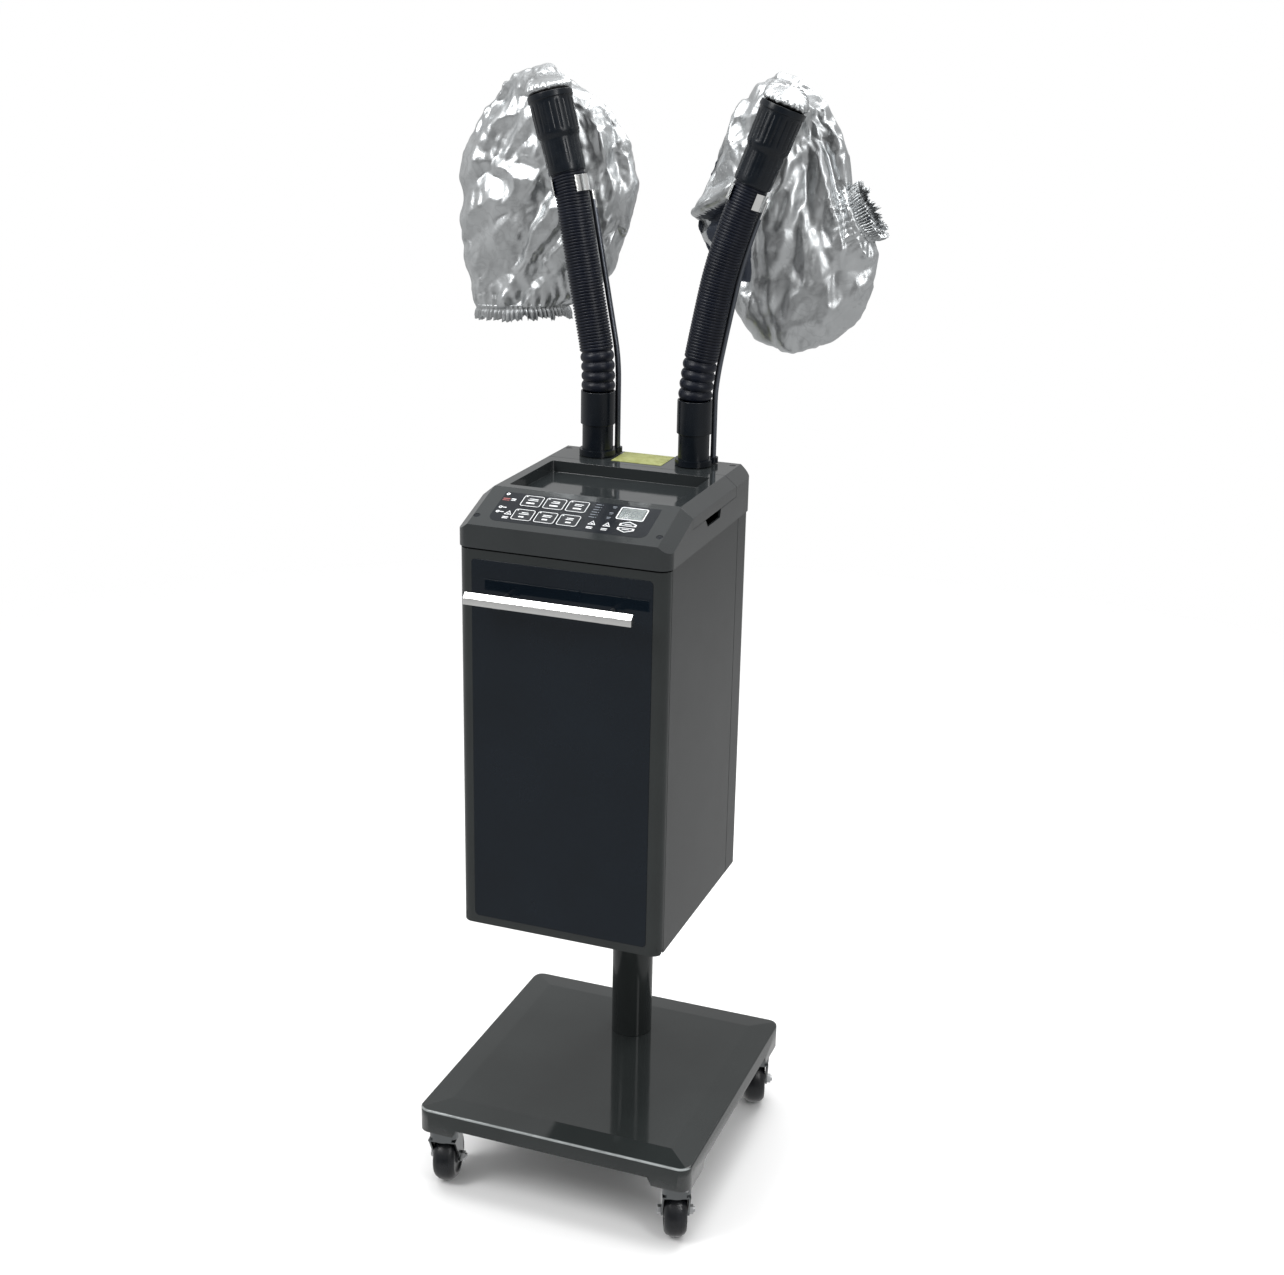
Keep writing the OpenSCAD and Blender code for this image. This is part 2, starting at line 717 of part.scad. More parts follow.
module impeller(s) {
    wheel_y0 = drum_y + 8;
    wheel_y1 = drum_y + drum_w - 10;
    color(hose_black) place() translate([s * port_x, 0, drum_z]) {
        difference() {
            union() {
                rod_y(44, wheel_y0, wheel_y0 + 2);
                rod_y(10, wheel_y0, wheel_y0 + 24);
            }
            rod_y(4 + fit, wheel_y0 - over, wheel_y1);
        }
        difference() {
            rod_y(44, wheel_y1 - 2, wheel_y1);
            rod_y(34, wheel_y1 - 3, wheel_y1 + over);
        }
        for (a = [0:18:342]) rotate([0, a, 0]) translate([40, wheel_y0, 0])
            rotate([0, 35, 0]) translate([-4, 0, -0.6]) cube([8, wheel_y1 - wheel_y0, 1.2]);
    }
}

module impeller_left() { impeller(-1); }
module impeller_right() { impeller(1); }

// Insulated tubes with two mica crosses that carry the heating coils
module heater_tubes() {
    color([0.7, 0.68, 0.6]) place() at_each_side() translate([0, port_y - 28, 0]) {
        difference() {
            rod(duct_r + 3, heater_z0 - sleeve_h, heater_z1);
            rod(duct_r + 0.5, heater_z0 - sleeve_h - over, heater_z1 + over);
        }
        for (a = [0, 90]) rotate(a) box(-duct_r - 1, duct_r + 1, -0.6, 0.6, heater_z0 + 10, heater_z1 - 10);
        for (z = [heater_z0 + 20:12:heater_z1 - 20]) translate([0, 0, z]) difference() {
            cylinder(r = 19, h = 1.6);
            translate([0, 0, -over]) cylinder(r = 16.5, h = 4);
        }
    }
}

// Port pipes: a box that steps the air path back, and a straight pipe up through the deck
port_top = deck_z + 88;
pipe_z0 = 960;
module port_pipes() {
    color(gloss_black) place() at_each_side() {
        translate([0, port_y, 0]) difference() {
            union() {
                rod(port_dia / 2, pipe_z0, port_top);
                rod(port_dia / 2 + 4, deck_z - cover_t - 4, deck_z - cover_t - 0.3);
            }
            rod(port_dia / 2 - 2.5, pipe_z0 - over, port_top + over);
        }
        difference() {
            box(-27, 27, port_y - 56, port_y + 24, heater_z1, pipe_z0);
            box(-24, 24, port_y - 53, port_y + 21, heater_z1 + 3, pipe_z0 - 3);
            translate([0, port_y, 0]) rod(port_dia / 2 - 2.5, pipe_z0 - 5, pipe_z0 + over);
            translate([0, port_y - 28, 0]) rod(duct_r, heater_z1 - over, heater_z1 + 5);
        }
    }
}

// ---------- mains module ----------

inlet_w = 50;
inlet_h = 32;
inlet_z = 480;
rocker_r = 12;
rocker_w = 14;
rocker_x = 12;
rocker_z = inlet_z + inlet_h / 2;
rocker_y = body_d / 2 - 3;

module power_inlet() {
    y1 = body_d / 2;
    color(hose_black) place() difference() {
        union() {
            box(-inlet_w / 2 + 0.2, inlet_w / 2 - 0.2, y1 - 30, y1, inlet_z + 0.2, inlet_z + inlet_h - 0.2);
            box(-inlet_w / 2 - 3, inlet_w / 2 + 3, y1 + 0.1, y1 + 2, inlet_z - 3, inlet_z + inlet_h + 3);
            box(-inlet_w / 2 + 2, inlet_w / 2 - 2, y1 - 1, y1 + 1, inlet_z + 2, inlet_z + inlet_h - 2);
        }
        translate([-11, y1 - 17, rocker_z]) rotate([-90, 0, 0])
            linear_extrude(22) polygon([[-12, -8.5], [12, -8.5], [12, 4], [7, 8.5], [-7, 8.5], [-12, 4]]);
        translate([0, rocker_y, rocker_z]) rod_x(rocker_r + slit, rocker_x - rocker_w / 2 - slit,
            rocker_x + rocker_w / 2 + slit);
    }
    color(zinc) place() for (x = [-18, -11, -4])
        box(x - 2, x + 2, y1 - 18, y1 - 5, rocker_z - 1 - (x == -11 ? 3 : 0), rocker_z + 1);
}

// Rocker in its off position: a slice of a drum that stands out of its pocket
module power_rocker() {
    color([0.5, 0.05, 0.04]) place() translate([rocker_x, rocker_y, rocker_z]) rotate([-8, 0, 0])
        difference() {
        rod_x(rocker_r, -rocker_w / 2, rocker_w / 2);
        box(-rocker_w, rocker_w, 6, 20, -20, 20);
        box(-rocker_w, rocker_w, -20, -6, -20, 20);
    }
}

// ---------- hoses, arms and bonnets ----------

// How far the hose leans at each distance along it, left and right
lean_left = [[0, 0], [20, 1], [75, 13], [190, 13], [250, 12], [300, 18], [330, 22], [600, 22]];
lean_right = [[0, 0], [20, 6], [60, 10], [150, 11], [200, 16], [270, 20], [310, 21], [330, 19], [600, 18]];
hose_z0 = deck_z + 88;      // top of the port pipe
hose_len = 306;
nozzle_start = 300;         // where the nozzle begins, along the hose
nozzle_len = 107;
hose_r = hose_dia / 2;
hose_bore = hose_r - 4;
cuff_r = 24;
cuff_z0 = deck_z + 45;
cuff_z1 = deck_z + 91.4;
rod_at = [22, 20];
rod_z0 = deck_z + 1.5;
clip_at = 283;
clip_h = 22;
clip_gap = 34;              // width of the clip's open front
clip_turn = 90 + lean_turn; // from the lean's direction to straight forwards
step = 12;                  // distance between rings of a hose

function lean(side, s) = lookup(s, side < 0 ? lean_left : lean_right);

// Height gained and distance leaned at s along the hose, summed in short steps
function climb(side, s) = s <= 0 ? [0, 0]
    : let (d = min(s, 6), a = lean(side, s - d / 2)) climb(side, s - d) + d * [cos(a), sin(a)];

// Unit directions: sideways lean of a side, and a point of the hose's middle line
function lean_dir(side) = [side * cos(lean_turn), sin(lean_turn), 0];
function hose_point(side, s) = let (c = climb(side, s))
    [side * port_x, port_y, hose_z0 + c[0]] + c[1] * lean_dir(side);

// Ring of points round the hose's middle line
function ring(side, s, r, n, shift = [0, 0]) =
    let (a = lean(side, s), u = lean_dir(side), p = hose_point(side, s),
        across = [u[0] * cos(a), u[1] * cos(a), -sin(a)], along = [-u[1], u[0], 0])
    [for (k = [0:n - 1]) p + [shift[0], shift[1], 0]
        + r * cos(360 * k / n) * across + r * sin(360 * k / n) * along];

// Closed skin over a row of rings; hollow when the row runs up outside and back down inside
module skin(rings, n, loop) {
    rows = len(rings);
    points = [for (row = rings) each row];
    last = loop ? rows : rows - 1;
    sides = [for (i = [0:last - 1], k = [0:n - 1])
        let (j = (i + 1) % rows, m = (k + 1) % n)
        each [[i * n + k, i * n + m, j * n + m], [i * n + k, j * n + m, j * n + k]]];
    ends = loop ? [] : [[for (k = [n - 1:-1:0]) k], [for (k = [0:n - 1]) (rows - 1) * n + k]];
    polyhedron(points, [for (f = concat(sides, ends)) [for (i = [len(f) - 1:-1:0]) f[i]]]);
}

module hose(side) {
    n = 20;
    up = [for (s = [4:step:hose_len]) ring(side, s, hose_r, n)];
    down = [for (i = [len(up) - 1:-1:0]) ring(side, 4 + i * step, hose_bore, n)];
    color(hose_black) place() skin(concat(up, down), n, true);
}

module hose_left() { hose(-1); }
module hose_right() { hose(1); }

// Moulded cuff that turns on the port pipe and holds the hose's lower end
module cuff(side) {
    color(gloss_black) place() translate([side * port_x, port_y, 0]) difference() {
        rod(cuff_r, cuff_z0, cuff_z1);
        rod(port_dia / 2 + fit, cuff_z0 - over, cuff_z1 + over);
    }
}

module cuff_left() { cuff(-1); }
module cuff_right() { cuff(1); }

// Puts children at s along the hose, with +Z along the hose and +X towards its lean
module at_hose(side, s) {
    translate(hose_point(side, s)) rotate(side > 0 ? lean_turn : 180 - lean_turn)
        rotate([0, lean(side, s), 0]) children();
}

// Foot ring round the port pipe, bent rod up behind the hose, and a spring clip open at the front
module support_arm(side) {
    n = 16;
    r = rod_dia / 2;
    foot = [for (p = ring(side, 0, r, n, rod_at)) [p[0], p[1], rod_z0 + 3]];
    bent = [for (s = [0:step:clip_at]) ring(side, s, r, n, rod_at)];
    color(chrome) place() {
        translate([side * port_x, port_y, 0]) difference() {
            union() {
                rod(port_dia / 2 + 4, rod_z0, rod_z0 + 8);
                translate([rod_at[0], rod_at[1], 0]) rod(7, rod_z0, rod_z0 + 8);
            }
            rod(port_dia / 2 + fit, rod_z0 - over, rod_z0 + 9);
        }
        skin(concat([foot], bent), n, false);
        at_hose(side, clip_at - clip_h / 2) difference() {
            cylinder(r = hose_r + 2.6, h = clip_h);
            translate([0, 0, -over]) cylinder(r = hose_r + 0.8, h = clip_h + 2 * over);
            rotate(side > 0 ? -clip_turn : clip_turn) translate([0, -clip_gap / 2, -over])
                cube([60, clip_gap, clip_h + 2 * over]);
        }
    }
}

module support_arm_left() { support_arm(-1); }
module support_arm_right() { support_arm(1); }

// Stepped nozzle with a flared mouth that the bonnet's collar is pulled over
module nozzle(side) {
    color(gloss_black) place() at_hose(side, nozzle_start) rotate_extrude()
        polygon([[hose_r + 0.2, 0], [25.5, 0], [26, 4], [26.5, 46], [28.5, 50], [29.5, 54], [30, 98],
            [31.5, 99], [31.5, nozzle_len], [28, nozzle_len], [26.5, 98], [26, 54], [24, 48], [22, 12],
            [22, 8], [hose_r + 0.2, 8]]);
}

module nozzle_left() { nozzle(-1); }
module nozzle_right() { nozzle(1); }

bonnet_n = 24;              // sides of a bonnet's oval levels
cap_gap = 0.6;              // gap between the nozzle's mouth and the gathered cap
hood_cap_r = 33;

// One level of a bonnet: an oval of half-widths a and b about the point c
function oval(c, a, b) = [for (k = [0:bonnet_n - 1])
    let (t = 360 * k / bonnet_n) [c[0] + a * cos(t), c[1] + b * sin(t), c[2]]];

// Levels by height above the deck: [height, left edge, right edge, front, back]
levels_left = [[168, -292, -208, 214, 262], [180, -300, -168, 206, 276], [205, -316, -136, 202, 286],
    [245, -330, -98, 200, 291], [300, -338, -60, 200, 292], [360, -338, -57, 200, 292],
    [420, -316, -72, 202, 289], [460, -292, -102, 206, 284], [490, -264, -140, 211, 274],
    [512, -226, -172, 218, 262]];
levels_right = [[154, 152, 206, 216, 262], [166, 122, 234, 207, 276], [200, 84, 272, 201, 288],
    [260, 48, 292, 200, 292], [310, 18, 296, 200, 292], [336, 18, 290, 200, 292],
    [380, 34, 256, 201, 290], [430, 52, 240, 203, 286], [480, 80, 220, 208, 278],
    [512, 128, 184, 218, 262]];

// Closed cushion the size of the hanging bonnet, and the gathered cap over the nozzle's mouth
module bonnet(side) {
    levels = side < 0 ? levels_left : levels_right;
    rings = [for (l = levels) oval([(l[1] + l[2]) / 2, (l[3] + l[4]) / 2, deck_z + l[0]],
        (l[2] - l[1]) / 2, (l[4] - l[3]) / 2)];
    top = levels[len(levels) - 1];
    color(silver_cloth) place() {
        skin(rings, bonnet_n, false);
        hull() {
            at_hose(side, nozzle_start) translate([0, 0, nozzle_len + cap_gap])
                cylinder(r = hood_cap_r, h = 9, $fn = 24);
            translate([(top[1] + top[2]) / 2, (top[3] + top[4]) / 2, deck_z + top[0] - 6])
                cylinder(r = 20, h = 10, $fn = 24);
        }
    }
}

module bonnet_left() { bonnet(-1); }
module bonnet_right() { bonnet(1); }

base_pan();
column_tube();
column_fittings();
frame_bolts();
caster_plates();
caster_fork_fl();
caster_fork_fr();
caster_fork_rl();
caster_fork_rr();
caster_axle_fl();
caster_axle_fr();
caster_axle_rl();
caster_axle_rr();
wheel_fl();
wheel_fr();
wheel_rl();
wheel_rr();
bottom_pan();
side_panel_left();
side_panel_right();
rear_shell();
bulkhead();
top_cover();
tray_lid();
key_overlay();
display_window();
control_board();
key_1();
key_2();
key_3();
key_4();
key_5();
key_6();
key_up();
key_down();
screw_caps();
blank_plate();
door_shell();
door_panel();
handle_bar();
handle_posts();
hinge_brackets();
blower_housings();
blower_motors();
impeller_left();
impeller_right();
heater_tubes();
power_inlet();
power_rocker();
port_pipes();
support_arm_left();
support_arm_right();
cuff_left();
cuff_right();
hose_left();
hose_right();
nozzle_left();
nozzle_right();
bonnet_left();
bonnet_right();
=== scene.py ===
import math

import bmesh
import bpy
import numpy as np
from mathutils import Matrix, Vector, noise


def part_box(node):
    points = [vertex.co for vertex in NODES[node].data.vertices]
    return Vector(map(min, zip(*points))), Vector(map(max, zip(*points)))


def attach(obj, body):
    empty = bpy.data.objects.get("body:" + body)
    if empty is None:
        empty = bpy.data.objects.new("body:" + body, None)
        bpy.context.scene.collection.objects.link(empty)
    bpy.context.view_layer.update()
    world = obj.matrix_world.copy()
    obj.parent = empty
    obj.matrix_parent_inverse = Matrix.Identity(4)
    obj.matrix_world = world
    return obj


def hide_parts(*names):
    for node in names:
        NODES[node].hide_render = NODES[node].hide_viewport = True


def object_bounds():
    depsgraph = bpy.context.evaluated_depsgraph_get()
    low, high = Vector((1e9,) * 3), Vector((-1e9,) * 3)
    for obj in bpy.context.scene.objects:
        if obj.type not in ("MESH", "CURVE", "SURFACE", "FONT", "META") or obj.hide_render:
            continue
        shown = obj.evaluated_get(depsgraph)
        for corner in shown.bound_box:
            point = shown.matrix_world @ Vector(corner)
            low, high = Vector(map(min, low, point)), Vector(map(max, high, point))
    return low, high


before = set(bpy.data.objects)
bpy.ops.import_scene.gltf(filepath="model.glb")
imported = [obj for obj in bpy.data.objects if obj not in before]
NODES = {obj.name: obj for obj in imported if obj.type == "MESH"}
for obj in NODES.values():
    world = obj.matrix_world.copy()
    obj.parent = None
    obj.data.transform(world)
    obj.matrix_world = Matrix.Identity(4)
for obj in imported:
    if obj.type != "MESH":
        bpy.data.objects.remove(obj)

CAD_LO, CAD_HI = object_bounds()
scene = bpy.context.scene

# ---------------------------------------------------------------- places
# Lengths below are millimetres in the cabinet's own frame: x from its middle plane, y from its
# middle, z from the floor. at() turns them into the row frame, in metres.
_lo, _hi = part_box("top_cover")
SX, DECK = (_lo.x + _hi.x) / 2, _hi.z * 1000
_lo, _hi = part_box("column_tube")
COLUMN_BACK = 0.125               # the column stands this far behind the cabinet's middle
SY = (_lo.y + _hi.y) / 2 - COLUMN_BACK


def at(x, y, z):
    return Vector((SX + x / 1000, SY + y / 1000, z / 1000))


def smooth(a, b, x):
    t = np.clip((x - a) / (b - a), 0, 1)
    return t * t * (3 - 2 * t)


# ---------------------------------------------------------------- camera
YAW, PITCH, ROLL = 0.3528, -0.3334, 0.0202
fwd = Vector((-math.sin(YAW) * math.cos(PITCH), math.cos(YAW) * math.cos(PITCH), math.sin(PITCH)))
right = Vector((math.cos(YAW), math.sin(YAW), 0))
up = right.cross(fwd)
cam_x = math.cos(ROLL) * right + math.sin(ROLL) * up
cam_y = -math.sin(ROLL) * right + math.cos(ROLL) * up
cam = bpy.data.objects.new("camera", bpy.data.cameras.new("camera"))
scene.collection.objects.link(cam)
cam.data.lens = 53.46
cam.data.sensor_width = 36
cam.matrix_world = Matrix.Translation(at(894.75, -2293.28, 1669.61)) @ Matrix(
    (cam_x, cam_y, -fwd)).transposed().to_4x4()
scene.camera = cam
scene.view_settings.view_transform = "Standard"


# ---------------------------------------------------------------- materials
class Nodes:
    """Short calls for building a material's node tree."""

    def __init__(self, name):
        self.mat = bpy.data.materials.new(name)
        self.mat.use_nodes = True
        self.tree = self.mat.node_tree
        self.bsdf = self.tree.nodes["Principled BSDF"]
        self.space = self.add("ShaderNodeTexCoord").outputs["Object"]

    def add(self, kind, **values):
        n = self.tree.nodes.new(kind)
        for k, v in values.items():
            setattr(n, k, v)
        return n

    def link(self, a, b):
        self.tree.links.new(a, b)

    def noise(self, scale, detail=4.0, rough=0.5, stretch=None, distort=0.0):
        n = self.add("ShaderNodeTexNoise")
        n.inputs["Scale"].default_value = scale
        n.inputs["Detail"].default_value = detail
        n.inputs["Roughness"].default_value = rough
        n.inputs["Distortion"].default_value = distort
        self.link(self.placed(stretch), n.inputs["Vector"])
        return n.outputs["Fac"]

    def cells(self, scale):
        n = self.add("ShaderNodeTexVoronoi")
        n.inputs["Scale"].default_value = scale
        self.link(self.space, n.inputs["Vector"])
        return n.outputs["Distance"]

    def placed(self, stretch):
        if stretch is None:
            return self.space
        n = self.add("ShaderNodeMapping")
        n.inputs["Scale"].default_value = stretch
        self.link(self.space, n.inputs["Vector"])
        return n.outputs["Vector"]

    def ramp(self, fac, stops):
        n = self.add("ShaderNodeValToRGB")
        e = n.color_ramp.elements
        while len(e) < len(stops):
            e.new(0.5)
        for slot, (pos, c) in zip(e, stops):
            slot.position = pos
            slot.color = (*c, 1) if hasattr(c, "__len__") else (c, c, c, 1)
        self.link(fac, n.inputs["Fac"])
        return n.outputs["Color"]

    def math(self, op, a, b=None):
        n = self.add("ShaderNodeMath", operation=op)
        for i, v in enumerate((a, b)):
            if v is None:
                continue
            if isinstance(v, (int, float)):
                n.inputs[i].default_value = v
            else:
                self.link(v, n.inputs[i])
        return n.outputs[0]

    def blend(self, fac, a, b):
        n = self.add("ShaderNodeMix", data_type="RGBA")
        self.link(fac, n.inputs["Factor"])
        for socket, v in ((n.inputs[6], a), (n.inputs[7], b)):
            if hasattr(v, "__len__"):
                socket.default_value = (*v, 1)
            else:
                self.link(v, socket)
        return n.outputs[2]

    def bump(self, height, strength, distance, after=None):
        n = self.add("ShaderNodeBump")
        n.inputs["Strength"].default_value = strength
        n.inputs["Distance"].default_value = distance
        self.link(height, n.inputs["Height"])
        if after is not None:
            self.link(after, n.inputs["Normal"])
        return n.outputs["Normal"]

    def finish(self, color=None, rough=None, normal=None, **fixed):
        b = self.bsdf
        if color is not None:
            self.link(color, b.inputs["Base Color"])
        if rough is not None:
            self.link(rough, b.inputs["Roughness"])
        if normal is not None:
            self.link(normal, b.inputs["Normal"])
        for k, v in fixed.items():
            b.inputs[k.replace("_", " ")].default_value = v
        return self.mat


def tone(c, k):
    return tuple(min(1.0, x * k) for x in c)


def gloss_coat(name, color, rough, peel=0.05, ior=1.5):
    """Stoved gloss paint or gloss moulding: faint orange peel, fine dust and rubbed patches."""
    n = Nodes(name)
    base = n.ramp(n.noise(9, 5), [(0.3, tone(color, 0.88)), (0.7, tone(color, 1.12))])
    dust = n.ramp(n.noise(900, 2, 0.7), [(0.62, 0.0), (0.8, 0.05)])
    base = n.blend(dust, base, (0.25, 0.25, 0.24))
    smear = n.noise(14, 6, 0.6, distort=1.5)
    r = n.ramp(smear, [(0.35, rough), (0.75, rough + 0.07)])
    peel_n = n.bump(n.noise(420, 2), peel, 0.0004)
    return n.finish(base, r, n.bump(n.noise(35, 2), 0.04, 0.002, peel_n), IOR=ior)


def metal(name, color, rough, brushed=(1, 1, 1), grain=500, depth=0.08):
    """Plated or drawn metal with a fine grain, small scratches and dull patches."""
    n = Nodes(name)
    patch = n.noise(25, 5, 0.6)
    base = n.ramp(patch, [(0.3, tone(color, 0.86)), (0.75, color)])
    line = n.noise(grain, 3, 0.6, stretch=brushed)
    r = n.math("ADD", n.ramp(patch, [(0.3, rough), (0.8, rough + 0.1)]), n.math("MULTIPLY", line, 0.06))
    return n.finish(base, r, n.bump(line, depth, 0.0003), Metallic=1.0)


def moulded(name, color, rough, grain=900, depth=0.12, speck=0.2, ior=1.45):
    """Moulded plastic or rubber with a fine texture and slightly paler rubbed spots."""
    n = Nodes(name)
    base = n.ramp(n.noise(40, 5), [(0.3, tone(color, 1 - speck)), (0.7, tone(color, 1 + speck))])
    r = n.ramp(n.noise(60, 4), [(0.3, rough - 0.05), (0.7, rough + 0.08)])
    fine = n.bump(n.cells(grain), depth, 0.0003)
    return n.finish(base, r, n.bump(n.noise(90, 3), 0.06, 0.001, fine), IOR=ior)


def foil_cloth(name, color, rough=0.30, crinkle=1.0):
    """Metallised cloth: a creased sheen that breaks into facets, over a fine taffeta weave, with painted
    shade that darkens the colour along the creases.
    """
    n = Nodes(name)
    ridge = n.math("ABSOLUTE", n.math("SUBTRACT", n.noise(34, 4, 0.5, distort=0.8), 0.5))
    fine = n.math("ABSOLUTE", n.math("SUBTRACT", n.noise(120, 3, 0.55), 0.5))
    weave = n.noise(2600, 1, stretch=(1, 1, 1.7))
    normal = n.bump(weave, 0.04, 0.0002)
    normal = n.bump(fine, 0.09 * crinkle, 0.0016, normal)
    normal = n.bump(ridge, 0.20 * crinkle, 0.005, normal)
    tint = n.ramp(n.noise(13, 4, 0.6), [(0.3, tone(color, 0.72)), (0.7, color)])
    # Painted shade: the base colour darkens along the crease lines.
    crease_shade = n.ramp(ridge, [(0.0, 1.0), (0.035, 0.0)])
    base = n.blend(n.math("MULTIPLY", crease_shade, 0.3), tint, tone(color, 0.5))
    r = n.ramp(n.noise(45, 4), [(0.3, rough), (0.7, rough + 0.14)])
    return n.finish(base, r, normal, Metallic=0.95)


M = {
    "coat": gloss_coat("coat_charcoal", (0.019, 0.022, 0.022), 0.10, 0.05, 1.42),
    "base": gloss_coat("base_charcoal", (0.019, 0.022, 0.022), 0.03, 0.02, 1.45),
    "side": gloss_coat("side_charcoal", (0.012, 0.014, 0.0145), 0.15, 0.05, 1.3),
    "cover": gloss_coat("cover_charcoal", (0.020, 0.023, 0.024), 0.06, 0.05, 1.52),
    "door": gloss_coat("door_gloss", (0.004, 0.007, 0.011), 0.04, 0.02, 1.34),
    "overlay": gloss_coat("overlay_film", (0.006, 0.008, 0.011), 0.14, 0.02, 1.38),
    "black": moulded("black_moulding", (0.004, 0.006, 0.009), 0.24, 700, 0.06, 0.2, 1.36),
    "hose": moulded("hose_plastic", (0.0035, 0.0052, 0.011), 0.36, 800, 0.08, 0.2, 1.33),
    "fan": moulded("fan_plastic", (0.02, 0.02, 0.022), 0.45),
    "keys": moulded("key_plastic", (0.008, 0.010, 0.013), 0.3, 1400, 0.05),
    "tyre": moulded("tyre_rubber", (0.007, 0.008, 0.010), 0.3, 500, 0.1, 0.35),
    "chrome": metal("bar_chrome", (0.86, 0.86, 0.85), 0.09, (1, 30, 30), 160, 0.10),
    "fork": metal("fork_plate", (0.19, 0.20, 0.205), 0.16),
    "zinc": metal("zinc_sheet", (0.56, 0.57, 0.58), 0.3, (1, 1, 0.15), 300, 0.15),
    "board": moulded("board_green", (0.03, 0.14, 0.05), 0.5),
    "mica": moulded("mica_board", (0.5, 0.46, 0.36), 0.7),
    "rocker": moulded("rocker_red", (0.35, 0.015, 0.012), 0.25),
    "lining": moulded("cloth_lining", (0.02, 0.026, 0.04), 0.5, 1500, 0.2),
    "cloth": foil_cloth("silver_cloth", (0.62, 0.64, 0.65)),
    "elastic": foil_cloth("silver_elastic", (0.58, 0.60, 0.61), 0.32, 0.6),
    "post": metal("post_steel", (0.22, 0.23, 0.25), 0.34),
    "rod": metal("rod_steel", (0.13, 0.14, 0.16), 0.3),
}


def mottled(name, low, high, rough):
    n = Nodes(name)
    c = n.ramp(n.noise(90, 6, 0.65, distort=0.8), [(0.35, low), (0.65, high)])
    r = n.ramp(n.noise(200, 3), [(0.3, rough), (0.7, rough + 0.15)])
    return n.finish(c, r, n.bump(n.noise(700, 3), 0.1, 0.0003))


M["plate"] = mottled("plate_card", (0.19, 0.20, 0.045), (0.30, 0.32, 0.12), 0.4)
M["print"] = mottled("print_white", (0.62, 0.64, 0.65), (0.82, 0.83, 0.84), 0.45)
M["print_grey"] = mottled("print_grey", (0.10, 0.12, 0.14), (0.2, 0.22, 0.25), 0.45)
M["print_red"] = mottled("print_red", (0.20, 0.05, 0.05), (0.34, 0.10, 0.09), 0.45)
M["lcd"] = mottled("lcd_cell", (0.30, 0.33, 0.33), (0.36, 0.39, 0.39), 0.3)
M["lcd_mark"] = mottled("lcd_segment", (0.15, 0.17, 0.17), (0.2, 0.22, 0.22), 0.3)


def dress(node, key):
    o = NODES[node]
    o.data.materials.clear()
    o.data.materials.append(M[key])
    return o


def soften(o, width, angle=32, segments=2):
    """Rounds a CAD piece's sharp edges, as a press or a mould leaves them."""
    m = o.modifiers.new("join", "WELD")
    m.merge_threshold = 2e-6
    m = o.modifiers.new("flat", "DECIMATE")
    m.decimate_type = "DISSOLVE"
    m.angle_limit = math.radians(0.5)
    m = o.modifiers.new("round", "BEVEL")
    m.limit_method = "ANGLE"
    m.angle_limit = math.radians(angle)
    m.width = width
    m.segments = segments
    m.use_clamp_overlap = True
    level_normals(o)
    for p in o.data.polygons:
        p.use_smooth = True
    return o


def level_normals(o):
    """Keeps big faces shading flat beside their rounded edges."""
    m = o.modifiers.new("level", "WEIGHTED_NORMAL")
    m.mode, m.weight, m.keep_sharp = "FACE_AREA", 100, True


DRESS = {
    "coat": (0.0008, ["column_tube", "column_fittings", "bottom_pan", "door_shell"]),
    "side": (0.0008, ["side_panel_left", "side_panel_right", "rear_shell"]),
    "cover": (0.0012, ["top_cover", "tray_lid"]),
    "door": (0.0004, ["door_panel"]),
    "overlay": (0.0002, ["key_overlay"]),
    "black": (0.0008, ["port_pipes", "cuff_left", "cuff_right", "screw_caps"]),
    "keys": (0.0003, ["key_%d" % i for i in range(1, 7)] + ["key_up", "key_down"]),
    "tyre": (0.0009, ["wheel_fl", "wheel_fr", "wheel_rl", "wheel_rr"]),
    "chrome": (0.0006, ["handle_bar", "support_arm_left", "support_arm_right"]),
    "post": (0.0004, ["handle_posts"]),
    "fork": (0.0005, ["caster_fork_fl", "caster_fork_fr", "caster_fork_rl", "caster_fork_rr"]),
    "zinc": (0.0004, ["caster_axle_fl", "caster_axle_fr", "caster_axle_rl", "caster_axle_rr",
                      "caster_plates", "frame_bolts", "bulkhead", "hinge_brackets",
                      "blower_housings", "blower_motors"]),
    "fan": (0.0003, ["impeller_left", "impeller_right", "power_inlet"]),
    "board": (0.0002, ["control_board"]),
    "mica": (0.0002, ["heater_tubes"]),
    "rocker": (0.0004, ["power_rocker"]),
    "plate": (0.0001, ["blank_plate"]),
}
for key, (width, names) in DRESS.items():
    for name in names:
        soften(dress(name, key), width, 40 if name.startswith("support") else 32)


